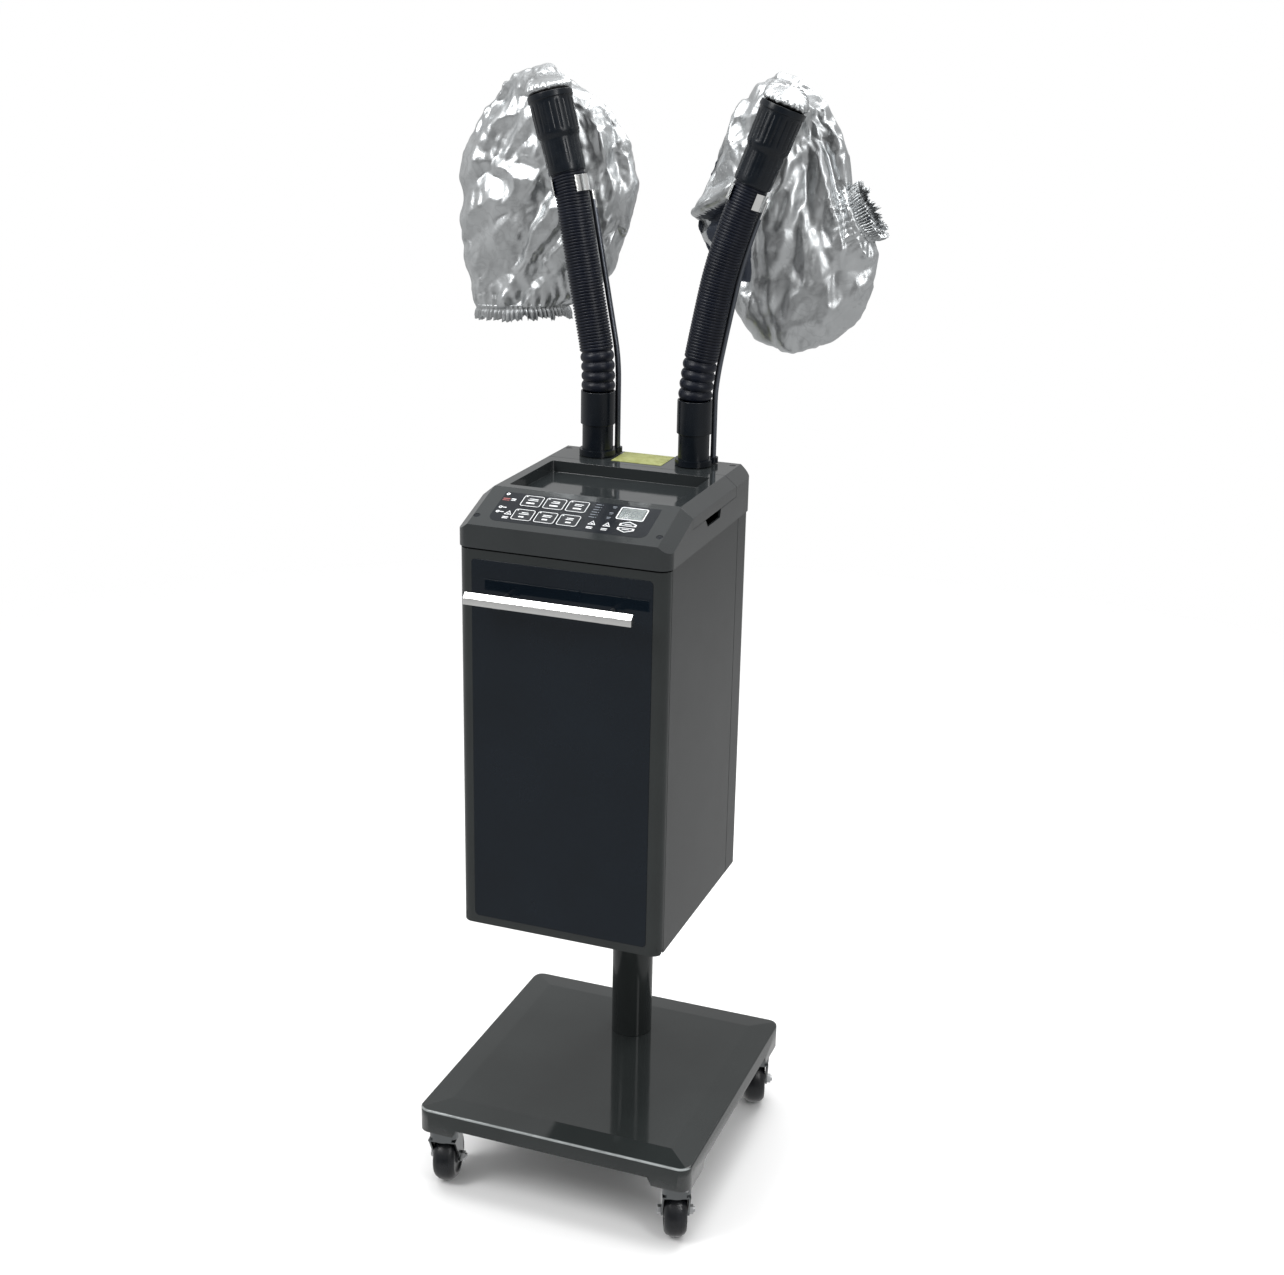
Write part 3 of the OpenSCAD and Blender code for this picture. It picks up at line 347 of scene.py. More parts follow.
def rim_highlight_coat(level):
    """The base's coat with a painted highlight: pale along the front of its rounded top edge, at height
    level, only where the edge faces the front.
    """
    n = Nodes("base_rim_painted_highlight")
    place = n.add("ShaderNodeSeparateXYZ")
    n.link(n.add("ShaderNodeNewGeometry").outputs["Position"], place.inputs[0])
    facing = n.add("ShaderNodeSeparateXYZ")
    n.link(n.add("ShaderNodeNewGeometry").outputs["Normal"], facing.inputs[0])
    off = n.math("ABSOLUTE", n.math("SUBTRACT", place.outputs["Z"], level))
    # Painted highlight: the rim turns pale only where it faces the front, at the level of the top edge.
    front = n.ramp(n.math("MULTIPLY", facing.outputs["Y"], -1.0), [(0.18, 0.0), (0.45, 1.0)])
    painted_highlight = n.math("MULTIPLY", n.math("MULTIPLY", n.math("LESS_THAN", off, 0.0032), front),
                  n.ramp(n.noise(30, 4), [(0.25, 0.55), (0.6, 1.0)]))
    return n.finish(n.blend(painted_highlight, (0.019, 0.022, 0.022), (0.30, 0.32, 0.32)),
                    n.ramp(n.noise(60, 3), [(0.3, 0.08), (0.7, 0.2)]),
                    n.bump(n.noise(420, 2), 0.03, 0.0004), IOR=1.45)


def base_pan():
    """Crisp creases between plateau and sloping border, and a rounded rim of its own material, which carries
    a painted highlight along the front.
    """
    border_drop = 0.004
    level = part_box("base_pan")[1].z - border_drop
    o = soften(dress("base_pan", "base"), 0.0024, 60, 4)
    for p in o.data.polygons:
        p.use_smooth = p.normal.z < 0.98
    # The rim's own material is the coat with a painted highlight along the front edge.
    o.data.materials.append(rim_highlight_coat(level))
    rim = o.vertex_groups.new(name="rim")
    rim.add([v.index for v in o.data.vertices if -0.0005 < v.co.z - level < 0.001], 1.0, "REPLACE")
    m = o.modifiers["round"]
    m.limit_method, m.vertex_group, m.use_clamp_overlap, m.material = "VGROUP", "rim", False, 1


def support_arm(name):
    """The foot ring is black and the rod dark; only the clip round the hose is bright."""
    foot_top, clip_foot = 10.5, 335          # above the deck
    me = NODES[name].data
    me.materials.append(M["black"])
    me.materials.append(M["rod"])
    for p in me.polygons:
        z = (NODES[name].matrix_world @ p.center).z * 1000 - DECK
        p.material_index = 1 if z < foot_top else 2 if z < clip_foot else 0


base_pan()
support_arm("support_arm_left")
support_arm("support_arm_right")


# ---------------------------------------------------------------- mesh helpers
def piece(name, verts, faces, body, mats, flat=False):
    me = bpy.data.meshes.new(name)
    me.from_pydata([tuple(v) for v in verts], [], faces)
    me.validate()
    me.update()
    for m in mats if isinstance(mats, (list, tuple)) else [mats]:
        me.materials.append(m)
    me.polygons.foreach_set("use_smooth", [not flat] * len(me.polygons))
    o = bpy.data.objects.new(name, me)
    scene.collection.objects.link(o)
    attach(o, body)
    return o


def tube(rings, closed_ends=True):
    """Quads over rows of equal rings, with both ends filled if closed_ends is true."""
    n = len(rings[0])
    verts = [p for r in rings for p in r]
    faces = [(i * n + k, i * n + (k + 1) % n, (i + 1) * n + (k + 1) % n, (i + 1) * n + k)
             for i in range(len(rings) - 1) for k in range(n)]
    if closed_ends:
        faces.append(tuple(range(n - 1, -1, -1)))
        faces.append(tuple((len(rings) - 1) * n + k for k in range(n)))
    return verts, faces


# ---------------------------------------------------------------- hoses and nozzles
# The hose's middle line, as part.scad draws it: lean from upright in degrees at each distance.
LEAN = {-1: ([0, 20, 75, 190, 250, 300, 330, 600], [0, 1, 13, 13, 12, 18, 22, 22]),
        1: ([0, 20, 60, 150, 200, 270, 310, 330, 600], [0, 6, 10, 11, 16, 20, 21, 19, 18])}
TURN = math.radians(18)
PORT = (71.0, 134.0)
HOSE_R, NOZZLE_AT = 23.5, 300.0
NAMES = {-1: "left", 1: "right"}


class Line:
    def __init__(self, side):
        self.side = side
        self.s = np.arange(0, 460.1, 1.0)
        a = np.radians(np.interp(self.s - 0.5, *LEAN[side]))
        a[0] = 0
        up_ = np.concatenate([[0], np.cumsum(np.cos(a[1:]))])
        out = np.concatenate([[0], np.cumsum(np.sin(a[1:]))])
        self.up, self.out = up_, out
        self.dir = Vector((side * math.cos(TURN), math.sin(TURN), 0))

    def frame(self, s):
        """Middle point (mm), and the across, along and forward unit vectors at s."""
        h = np.interp(s, self.s, self.up)
        o = np.interp(s, self.s, self.out)
        a = math.radians(np.interp(s, *LEAN[self.side]))
        mid = Vector((self.side * PORT[0], PORT[1], DECK + 88 + h)) + self.dir * o
        across = self.dir * math.cos(a) - Vector((0, 0, math.sin(a)))
        along = Vector((-self.dir.y, self.dir.x, 0))
        return mid, across, along, across.cross(along)

    def ring(self, s, r, n):
        mid, across, along, _ = self.frame(s)
        turns = np.linspace(0, 2 * math.pi, n, endpoint=False)
        return [at(*(mid + across * (r * math.cos(t)) + along * (r * math.sin(t)))) for t in turns]


def hose(side):
    line, rings, n = Line(side), [], 40
    s = 4.1
    bellows = 60.0
    rows = []
    while s < 304:
        if s < bellows:                       # four deep convolutions above the cuff
            t = (s - 4.1) / 13.4
            wave = abs(math.sin(math.pi * t)) ** 0.55
            rows.append((s, HOSE_R - 4.2 + 4.1 * wave))
            s += 0.9
        else:                                 # fine ribs, each a square-shouldered ring
            t = ((s - bellows) / 4.1) % 1.0
            wave = min(1.0, max(0.0, 2.6 * math.sin(math.pi * t) - 0.45))
            rows.append((s, HOSE_R - 2.3 + 1.9 * wave))
            s += 4.1 / 8
    for s, r in rows:
        rings.append(line.ring(s, r, n))
    rings.insert(0, line.ring(rows[0][0], 19, n))
    rings.append(line.ring(rows[-1][0], 19, n))
    v, f = tube(rings)
    name = "hose_ribbed_" + NAMES[side]
    o = piece(name, v, f, "arm_" + NAMES[side], M["hose"])
    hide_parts("hose_" + NAMES[side])


def nozzle(side):
    line, n = Line(side), 120
    # (distance from the nozzle's foot, radius, depth of the lengthwise flutes)
    prof = [(0.3, 23.7, 0), (0.0, 25.0, 0), (0.8, 25.5, 0), (4, 26.0, 0), (10, 26.1, 0.0), (12, 26.1, 0.5),
            (42, 26.4, 0.5), (44, 26.4, 0), (46.5, 26.6, 0), (49.5, 28.3, 0), (51, 28.8, 0), (53, 29.3, 0),
            (55, 29.5, 0), (58, 29.5, 0.9), (92, 29.9, 0.9), (95, 29.9, 0), (98, 30.0, 0),
            (98.8, 31.2, 0), (99.6, 31.5, 0), (106.2, 31.5, 0), (107, 30.9, 0), (107, 28.6, 0),
            (106, 28.0, 0), (98, 26.6, 0), (54, 26.0, 0), (48, 24.0, 0), (12, 22.0, 0), (0.6, 22.0, 0)]
    flutes = 20
    rings = []
    mid, across, along, out = line.frame(NOZZLE_AT)
    for s, r, d in prof:
        ring = []
        for t in np.linspace(0, 2 * math.pi, n, endpoint=False):
            reach = r - d * max(0, math.cos(flutes * t)) ** 6
            ring.append(at(*(mid + out * s + across * (reach * math.cos(t)) + along * (reach * math.sin(t)))))
        rings.append(ring)
    v, f = tube(rings, False)
    f += [((len(rings) - 1) * n + k, (len(rings) - 1) * n + (k + 1) % n, (k + 1) % n, k) for k in range(n)]
    o = piece("nozzle_ribbed_" + NAMES[side], v, f, "arm_" + NAMES[side], M["black"])
    m = o.modifiers.new("round", "BEVEL")
    m.limit_method, m.angle_limit = "ANGLE", math.radians(40)
    m.width, m.segments = 0.0003, 2
    level_normals(o)
    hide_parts("nozzle_" + NAMES[side])


for side in (-1, 1):
    hose(side)
    nozzle(side)


# ---------------------------------------------------------------- control face
SLOPE = math.atan2(30.5, 85.0)
FACE_Y = -82.0


def face(x, s, h):
    """x across, s down the control face from the lid's seam, h out of it, in mm."""
    return at(x, FACE_Y - s * math.cos(SLOPE) - h * math.sin(SLOPE),
              DECK - s * math.sin(SLOPE) + h * math.cos(SLOPE))


class Marks:
    """Gathers thin printed shapes that lie on the control face into one piece."""

    def __init__(self, h):
        self.h, self.v, self.f = h, [], []

    def slab(self, outline, hole=None, t=0.06):
        n = len(outline)
        b = len(self.v)
        if hole is None:
            self.v += [face(x, s, self.h) for x, s in outline] + [face(x, s, self.h + t) for x, s in outline]
            self.f.append(tuple(b + i for i in range(n - 1, -1, -1)))
            self.f.append(tuple(b + n + i for i in range(n)))
            self.f += [(b + i, b + (i + 1) % n, b + n + (i + 1) % n, b + n + i) for i in range(n)]
            return
        for h in (self.h, self.h + t):
            for ring in (outline, hole):
                self.v += [face(x, s, h) for x, s in ring]
        for i in range(n):
            j = (i + 1) % n
            self.f.append((b + i, b + n + i, b + n + j, b + j))
            self.f.append((b + 2 * n + i, b + 2 * n + j, b + 3 * n + j, b + 3 * n + i))
            self.f.append((b + i, b + j, b + 2 * n + j, b + 2 * n + i))
            self.f.append((b + n + i, b + 3 * n + i, b + 3 * n + j, b + n + j))

    def bar(self, x, s, w, d):
        self.slab(round_box(x, s, w, d, min(w, d) * 0.3))

    def frame(self, x, s, w, d, r, line):
        self.slab(round_box(x, s, w, d, r), round_box(x, s, w - 2 * line, d - 2 * line, max(0.3, r - line)))

    def loop(self, points, line):
        mx = sum(p[0] for p in points) / len(points)
        ms = sum(p[1] for p in points) / len(points)
        far = min(math.hypot(x - mx, s - ms) for x, s in points)
        k = 1 - line * 1.9 / far
        self.slab(points, [(mx + (x - mx) * k, ms + (s - ms) * k) for x, s in points])

    def disc(self, x, s, r, hole=None, n=20):
        ring = [(x + r * math.cos(a), s - r * math.sin(a)) for a in np.linspace(0, 2 * math.pi, n, False)]
        inner = hole and [(x + hole * math.cos(a), s - hole * math.sin(a))
                          for a in np.linspace(0, 2 * math.pi, n, False)]
        self.slab(ring, inner)

    def made(self, name, body, mat):
        return piece(name, self.v, self.f, body, mat, flat=True)


def round_box(x, s, w, d, r, n=5):
    pts = []
    for cx, cs, a0 in ((1, -1, 0), (-1, -1, 90), (-1, 1, 180), (1, 1, 270)):
        for i in range(n + 1):
            a = math.radians(a0 + 90 * i / n)
            pts.append((x + cx * (w / 2 - r) + r * math.cos(a), s + cs * (d / 2 - r) - r * math.sin(a)))
    return pts


white, grey, red = Marks(0.215), Marks(0.215), Marks(0.215)
white.disc(-103, 15.5, 2.6, 1.3)
red.bar(-101, 26, 9.5, 2.4)
red.bar(-101, 29.4, 9.5, 1.6)
white.bar(-91, 25.5, 6.5, 2.0)
white.bar(-91, 28.8, 6.5, 1.2)
for s in (45.5, 55.5):
    white.disc(-101.5, s, 2.5, 1.2)
    white.bar(-95.8, s, 5.2, 1.6)
for x, s in ((-86, 56), (30, 56), (50, 56)):
    white.loop([(x - 5.2, s + 4.2), (x + 5.2, s + 4.2), (x, s - 4.8)], 0.9)
    white.bar(x, s + 1.6, 3.4, 1.3)
    white.bar(x - 0.6, s + 9.4, 8.5, 1.3)
    white.bar(x - 0.6, s + 12.2, 8.0, 1.3)
for i, s in enumerate((16, 21.6, 27.2, 32.8, 38.4, 44)):
    grey.bar(24, s, 7.4, 1.2)
    grey.bar(24 + 5.6, s, 1.2, 1.2)
for s in (16.5, 30.5, 40.5):
    grey.bar(46.5, s, 5.4, 1.4)
    grey.bar(46.5, s + 2.7, 4.2, 1.0)
white.frame(74, 28, 37.5, 27, 3.2, 1.6)
white.made("panel_print", "cabinet", M["print"])
grey.made("panel_print_grey", "cabinet", M["print_grey"])
red.made("panel_print_red", "cabinet", M["print_red"])

for i in range(6):
    x, s = -65 + (i % 3) * 31.5, 26 if i < 3 else 57.5
    m = Marks(0.515)
    m.frame(x, s, 27.6, 23.6, 3.4, 0.85)
    m.bar(x - 10.6, s - 9.2, 2.2, 1.9)
    m.bar(x + 1, s - 4.6, 12.5 - (i % 2) * 3, 1.4)
    m.bar(x + 0.4, s - 1.5, 14 - (i % 3) * 2, 1.2)
    m.bar(x + (i % 3) - 1, s + 4.6, 11.5 if i < 3 else 7.5, 2.6)
    m.made("key_print_%d" % (i + 1), "button_%d" % (i + 1), M["print"])
for name, s, d in (("up", 50.5, -1), ("down", 63.5, 1)):
    m = Marks(0.515)
    x, half = 77, 11.4
    outer = [(x - half, s - d * 4.6), (x + half, s - d * 4.6), (x + half, s), (x, s + d * 5.4), (x - half, s)]
    m.loop(outer if d < 0 else outer[::-1], 0.75)
    m.bar(x, s - d * 1.2, 9.5, 1.2)
    m.made("key_print_" + name, "button_" + name, M["print"])

# Display cell under the window, with faint unlit digits
lcd = Marks(-2.4)
lcd.slab(round_box(74, 28, 31.8, 21.8, 0.8), t=2.62)
lcd.made("display_cell", "cabinet", M["lcd"])
seg = Marks(0.26)
for cx in (66.5, 76.5, 85.0):
    for s in (21.5, 28, 34.5):
        seg.bar(cx, s, 4.6, 1.0)
    for dx in (-3.0, 3.0):
        seg.bar(cx + dx, 24.8, 1.0, 4.6)
        seg.bar(cx + dx, 31.2, 1.0, 4.6)
seg.made("display_segments", "cabinet", M["lcd_mark"])
n = Nodes("window_glass")
n.finish(None, n.ramp(n.noise(60, 3), [(0.3, 0.03), (0.7, 0.1)]), n.bump(n.noise(40, 2), 0.01, 0.0003),
         Transmission_Weight=1.0, IOR=1.45)
n.bsdf.inputs["Base Color"].default_value = (0.92, 0.95, 0.95, 1)
M["window"] = n.mat
soften(dress("display_window", "window"), 0.0002)


# ---------------------------------------------------------------- bonnets
def applied_mesh(o):
    dg = bpy.context.evaluated_depsgraph_get()
    return bpy.data.meshes.new_from_object(o.evaluated_get(dg), depsgraph=dg)


def coords(me):
    co = np.empty(len(me.vertices) * 3)
    me.vertices.foreach_get("co", co)
    return co.reshape(-1, 3)


def put(me, co):
    me.vertices.foreach_set("co", np.ascontiguousarray(co, dtype=np.float64).ravel())
    me.update()


def normals(me):
    no = np.empty(len(me.vertices) * 3)
    me.vertices.foreach_get("normal", no)
    return no.reshape(-1, 3)


def temp(me, name):
    o = bpy.data.objects.new(name, me)
    scene.collection.objects.link(o)
    return o


def drop(o):
    bpy.data.objects.remove(o)


def field(co, scale, seed, octaves=3, ridged=False):
    """Noise at each point, about -1..1; ridged noise has sharp crests."""
    out = np.empty(len(co))
    for i, p in enumerate(co):
        q = Vector(p) * scale + Vector((seed * 7.1, seed * 3.3, seed * 5.7))
        v, a = 0.0, 1.0
        for _ in range(octaves):
            w = noise.noise(q)
            v += a * ((1 - 2 * abs(w)) if ridged else w)
            q = q * 2.07
            a *= 0.5
        out[i] = v
    return out


def facets(co, seed, size, waves=5):
    """Crumpled height, about -1..1: flat facets roughly size across that meet in sharp creases."""
    rng = np.random.default_rng(seed)
    co = co * (1, 1, 0.62)            # longer down the hanging cloth than across it
    shift = np.stack([field(co, 0.4 / size, seed + k, 2) for k in range(3)], axis=1)
    q = co + shift * size * 0.55
    h = np.zeros(len(co))
    for k in range(waves):
        d = rng.normal(size=3) * (1, 0.6, 1)
        u = q @ (d / np.linalg.norm(d)) / (size * rng.uniform(1.3, 2.6)) + rng.uniform()
        here = smooth(-0.15, 0.3, field(co, 0.3 / size, seed + 20 + k, 1))
        h += (np.abs((u % 1.0) * 4 - 2) - 1) * here * rng.uniform(0.6, 1.0)
    return h / math.sqrt(waves)


def crumple(o, pinned, grow, cap, frames):
    """Lets the cloth be larger than its form, so that it buckles into folds. No point moves past cap."""
    rest = coords(o.data)
    vg = o.vertex_groups.new(name="pin")
    for i in np.nonzero(pinned > 0.01)[0]:
        vg.add([int(i)], float(pinned[i]), "REPLACE")
    m = o.modifiers.new("Cloth", "CLOTH")
    c = m.settings
    c.quality = 5
    c.mass = 0.12
    c.tension_stiffness = c.compression_stiffness = 9
    c.shear_stiffness = 3
    c.bending_stiffness = 0.04
    c.tension_damping = c.compression_damping = c.shear_damping = 3
    c.shrink_min = -grow
    c.vertex_group_mass = "pin"
    c.pin_stiffness = 1
    c.effector_weights.gravity = 0
    m.collision_settings.use_collision = False
    m.point_cache.frame_start, m.point_cache.frame_end = 1, frames
    for f in range(1, frames + 1):
        scene.frame_set(f)
    me = applied_mesh(o)
    o.modifiers.remove(m)
    scene.frame_set(1)
    moved = coords(me) - rest
    far = np.linalg.norm(moved, axis=1)
    moved *= (np.minimum(far, cap) / np.maximum(far, 1e-9))[:, None]
    put(o.data, rest + moved)
    bpy.data.meshes.remove(me)


# The large folds of each bonnet: points (x, height above the deck), half-width and height of the step.
# The cloth stands out on the left of the way that the points run, and dips on the right.
FOLDS = {
    -1: [
        ([(-302, 298), (-276, 316), (-224, 342), (-170, 366)], 17, 9),
        ([(-290, 415), (-260, 451), (-222, 496)], 16, -6),
        ([(-200, 366), (-241, 384), (-212, 436)], 12, 5),
        ([(-224, 205), (-213, 273), (-193, 325)], 13, -6),
        ([(-240, 195), (-197, 268), (-166, 312)], 12, 6),
        ([(-96, 250), (-91, 366), (-104, 420)], 13, 7),
        ([(-90, 314), (-95, 372), (-126, 455)], 14, -6),
        ([(-318, 350), (-285, 372), (-250, 372)], 13, 5),
    ],
    1: [
        ([(14, 316), (86, 356), (104, 366)], 13, 12),
        ([(169, 290), (185, 386), (190, 452)], 13, 8),
        ([(253, 347), (237, 389), (222, 470)], 13, -7),
        ([(240, 215), (208, 319)], 18, 7),
        ([(161, 175), (131, 240)], 12, -6),
        ([(142, 232), (137, 356)], 12, -6),
        ([(39, 345), (73, 455)], 14, -6),
        ([(190, 186), (235, 205), (276, 250)], 13, 5),
        ([(150, 330), (172, 400)], 11, 5),
    ],
}


def steps(co, no, side):
    """Height of the named folds, on the front of the bonnet."""
    x = (co[:, 0] - SX) * 1000
    z = co[:, 2] * 1000 - DECK
    bend = field(co, 14, 9, 2) * 5
    h = np.zeros(len(co))
    for points, width, high in FOLDS[side]:
        best = np.full(len(co), 1e9)
        value = np.zeros(len(co))
        for (x0, z0), (x1, z1) in zip(points, points[1:]):
            dx, dz = x1 - x0, z1 - z0
            long = math.hypot(dx, dz)
            along = np.clip(((x - x0) * dx + (z - z0) * dz) / long ** 2, 0, 1)
            ex, ez = x - x0 - along * dx, z - z0 - along * dz
            far = np.hypot(ex, ez)
            across = (dx * ez - dz * ex) / long + bend
            new = far < best
            past_end = np.maximum(0, far - np.abs(across))
            step = 1.65 * across / width * np.exp(-(across / width) ** 2 - (past_end / width) ** 2)
            value = np.where(new, step, value)
            best = np.where(new, far, best)
        h += high * value
    return h / 1000 * smooth(0.1, -0.5, no[:, 1])


# Per side: the elastic opening as an oval (centre, half axes, way out), and the height range of the cut
OPENING = {-1: ((-232, 238, 181), (72, 0, 6), (0, 27, 0), (0.08, 0.0, -1.0), (100, 192)),
           1: ((262, 246, 338), (19.4, 0, -32.7), (0, 30, 0), (0.85, 0.12, 0.51), (296, 384))}


class Oval:
    """The elastic opening's rim, its way out and its own angle for any point."""

    def __init__(self, side):
        c, a, b, way, span = OPENING[side]
        self.mid = np.array(at(c[0], c[1], DECK + c[2]))
        self.a, self.b = np.array(a) / 1000, np.array(b) / 1000
        self.way = np.array(Vector(way).normalized())
        self.low, self.high = (DECK + span[0]) / 1000, (DECK + span[1]) / 1000

    def height(self, co):
        return (co - self.mid) @ self.way

    def angle(self, co):
        d = co - self.mid
        return np.arctan2(d @ self.b / (self.b @ self.b), d @ self.a / (self.a @ self.a))

    def rim(self, t):
        return self.mid + np.cos(t)[:, None] * self.a + np.sin(t)[:, None] * self.b


def bonnet(side):
    name = NAMES[side]
    line = Line(side)
    mouth, _, _, out = line.frame(NOZZLE_AT)
    mouth = mouth + out * 107
    oval = Oval(side)
    me = NODES["bonnet_" + name].data.copy()
    me.materials.clear()
    o = temp(me, "bonnet_work")
    m = o.modifiers.new("remesh", "REMESH")
    m.mode, m.voxel_size = "VOXEL", 0.0048
    o.data = applied_mesh(o)
    o.modifiers.clear()
    bm = bmesh.new()
    bm.from_mesh(o.data)
    axes = dict(use_axis_x=True, use_axis_y=True, use_axis_z=True)
    for _ in range(8):
        bmesh.ops.smooth_vert(bm, verts=bm.verts, factor=0.5, **axes)
    bm.to_mesh(o.data)
    bm.free()
    co, no = coords(o.data), normals(o.data)
    m_at = np.array(at(*mouth))
    near = np.linalg.norm(co - m_at, axis=1)
    hold = 1 - smooth(0.030, 0.055, near)
    # Folds that run down from the nozzle's mouth, deepest half way down
    d = co - m_at
    ang = np.arctan2(d[:, 0], -d[:, 2])
    reach = np.linalg.norm(d[:, [0, 2]], axis=1)
    wobble = field(co, 7, 3 + side, 2)
    ray = np.abs(((ang * 1.7 + wobble * 0.35 + 0.2 * side) % 1.0) * 4 - 2) - 1
    deep = smooth(0.02, 0.10, reach) * (1 - 0.8 * smooth(0.15, 0.27, reach))
    push = -0.0045 + 0.0045 * ray * deep + 0.0085 * facets(co, 40 + side, 0.055) + steps(co, no, side)
    co = co + no * (push * (1 - hold))[:, None]
    if side > 0:
        co[:, 1] += 0.016 * shaded_recess(co) * (1 - hold)
    put(o.data, co)
    crumple(o, hold, 0.07, 0.009, 18)
    # Cut the elastic opening and draw its edge to the oval
    bm = bmesh.new()
    bm.from_mesh(o.data)
    gone = [f for f in bm.faces if oval.height(np.array(f.calc_center_median())) > 0
            and oval.low < f.calc_center_median().z < oval.high]
    bmesh.ops.delete(bm, geom=gone, context="FACES")
    parts = sorted(islands(bm), key=len)
    for small in parts[:-1]:
        bmesh.ops.delete(bm, geom=small, context="VERTS")
    bm.verts.index_update()
    edge = np.array(sorted({v.index for e in bm.edges if e.is_boundary for v in e.verts}))
    bm.to_mesh(o.data)
    bm.free()
    co = coords(o.data)
    co = draw_in(co, edge, oval)
    put(o.data, co)
    # Finer creases on a finer mesh
    m = o.modifiers.new("fine", "SUBSURF")
    m.levels = m.render_levels = 1
    o.data = applied_mesh(o)
    o.modifiers.clear()
    co, no = coords(o.data), normals(o.data)
    keep = smooth(0.030, 0.05, np.linalg.norm(co - m_at, axis=1)) * smooth(0.0, 0.02, -oval.height(co))
    small = 0.0037 * facets(co, 60 + side, 0.026) + 0.0014 * facets(co, 80 + side, 0.011, 4)
    co = co + no * (small * keep + pleats(co, oval) + neck_gathers(co, side, mouth, m_at))[:, None]
    # The cloth never comes nearer the hose than the bonnet's own space
    put(o.data, stay_inside(co, name, m_at))
    o.data.polygons.foreach_set("use_smooth", [True] * len(o.data.polygons))
    me = o.data.copy()
    me.name = "bonnet_cloth_" + name
    drop(o)
    cloth = bpy.data.objects.new("bonnet_cloth_" + name, me)
    scene.collection.objects.link(cloth)
    me.materials.append(M["cloth"])
    me.materials.append(M["lining"])
    # Front faces in the recess get the dark lining material: painted shade on the outer cloth.
    if side > 0:
        middle = np.array([p.center for p in me.polygons])
        face_y = np.array([p.normal.y for p in me.polygons])
        me.polygons.foreach_set("material_index", ((shaded_recess(middle) > 0.55) & (face_y < 0.4)).astype(np.int32))
    m = cloth.modifiers.new("cloth_thickness", "SOLIDIFY")
    m.thickness, m.offset, m.material_offset = 0.0005, -1, 1
    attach(cloth, "arm_" + name)
    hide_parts("bonnet_" + name)
    hem = elastic("bonnet_elastic_" + name, oval, "arm_" + name)
    return cloth, hem


def neck_gathers(co, side, mouth, m_at):
    """Short pleats where the cloth is drawn in over the nozzle's mouth."""
    _, across, along, out = Line(side).frame(NOZZLE_AT)
    d = co - m_at
    t = np.arctan2(d @ np.array(along), d @ np.array(across))
    far = np.linalg.norm(d, axis=1)
    wave = np.abs((t * 19 / (2 * math.pi) + 0.5 * field(co, 20, 2, 1)) % 1.0 * 4 - 2) - 1
    return 0.0020 * wave * smooth(0.022, 0.034, far) * (1 - smooth(0.045, 0.085, far))


def shaded_recess(co):
    """Where the right bonnet's cloth is pushed back under the fold at the left of its hose, and its front
    faces are painted with the dark lining as painted shade: 0 to 1.
    """
    x = (co[:, 0] - SX) * 1000
    z = co[:, 2] * 1000 - DECK
    fold = 316 + (x - 14) * 0.5
    return smooth(2, -5, z - fold) * smooth(232, 250, z) * smooth(128, 112, x) * (co[:, 1] < at(0, 248, 0).y)


def draw_in(co, edge, oval):
    """Moves the cut edge onto the oval, and the cloth near it less and less."""
    order = edge[np.argsort(oval.angle(co[edge]))]
    t = oval.angle(co[order])
    move = oval.rim(t) - co[order]
    t3 = np.concatenate([t - 2 * math.pi, t, t + 2 * math.pi])
    grid = np.linspace(-math.pi, math.pi, 97)
    even = np.stack([np.interp(grid, t3, np.tile(move[:, k], 3)) for k in range(3)], axis=1)[:-1]
    for _ in range(3):
        even = (np.roll(even, 1, 0) + 2 * even + np.roll(even, -1, 0)) / 4
    even = np.vstack([even, even[:1]])
    all_t = oval.angle(co)
    smoothed = np.stack([np.interp(all_t, grid, even[:, k]) for k in range(3)], axis=1)
    gap = np.linalg.norm(co - oval.rim(all_t), axis=1)
    weight = (1 - smooth(0.0, 0.05, gap)) * (1 - smooth(0.0, 0.045, np.abs(oval.height(co))))
    co = co + smoothed * weight[:, None]
    co[edge] = oval.rim(oval.angle(co[edge]))
    return co


def pleats(co, oval):
    """Gathers that run up into the cloth from its elastic edge, and fade out."""
    t, up_ = oval.angle(co), -oval.height(co)
    gap = np.linalg.norm(co - oval.rim(t), axis=1)
    turns = t / (2 * math.pi)
    wave = 0.6 * np.abs((turns * 33 % 1.0) * 4 - 2) + 0.4 * np.abs((turns * 21 % 1.0) * 4 - 2) - 1
    return 0.0022 * wave * (1 - smooth(0.006, 0.045, gap)) * smooth(-0.001, 0.006, up_)


def islands(bm):
    seen, out = set(), []
    for v in bm.verts:
        if v in seen:
            continue
        todo, part = [v], []
        seen.add(v)
        while todo:
            a = todo.pop()
            part.append(a)
            for e in a.link_edges:
                b = e.other_vert(a)
                if b not in seen:
                    seen.add(b)
                    todo.append(b)
        out.append(part)
    return out


def stay_inside(co, name, m_at):
    """Keeps the hanging part behind the hose and inside the bonnet's space, with a little for folds."""
    lo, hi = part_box("bonnet_" + name)
    front = float(at(0, 200.5, 0).y)
    low = np.linalg.norm(co - m_at, axis=1) > 0.06
    co = co.copy()
    co[:, 1] = np.where(low, np.maximum(co[:, 1], front), co[:, 1])
    for k in (0, 2):
        co[:, k] = np.clip(co[:, k], lo[k] - 0.006, hi[k] + 0.006)
    co[:, 1] = np.minimum(co[:, 1], hi[1] + 0.008)
    return co


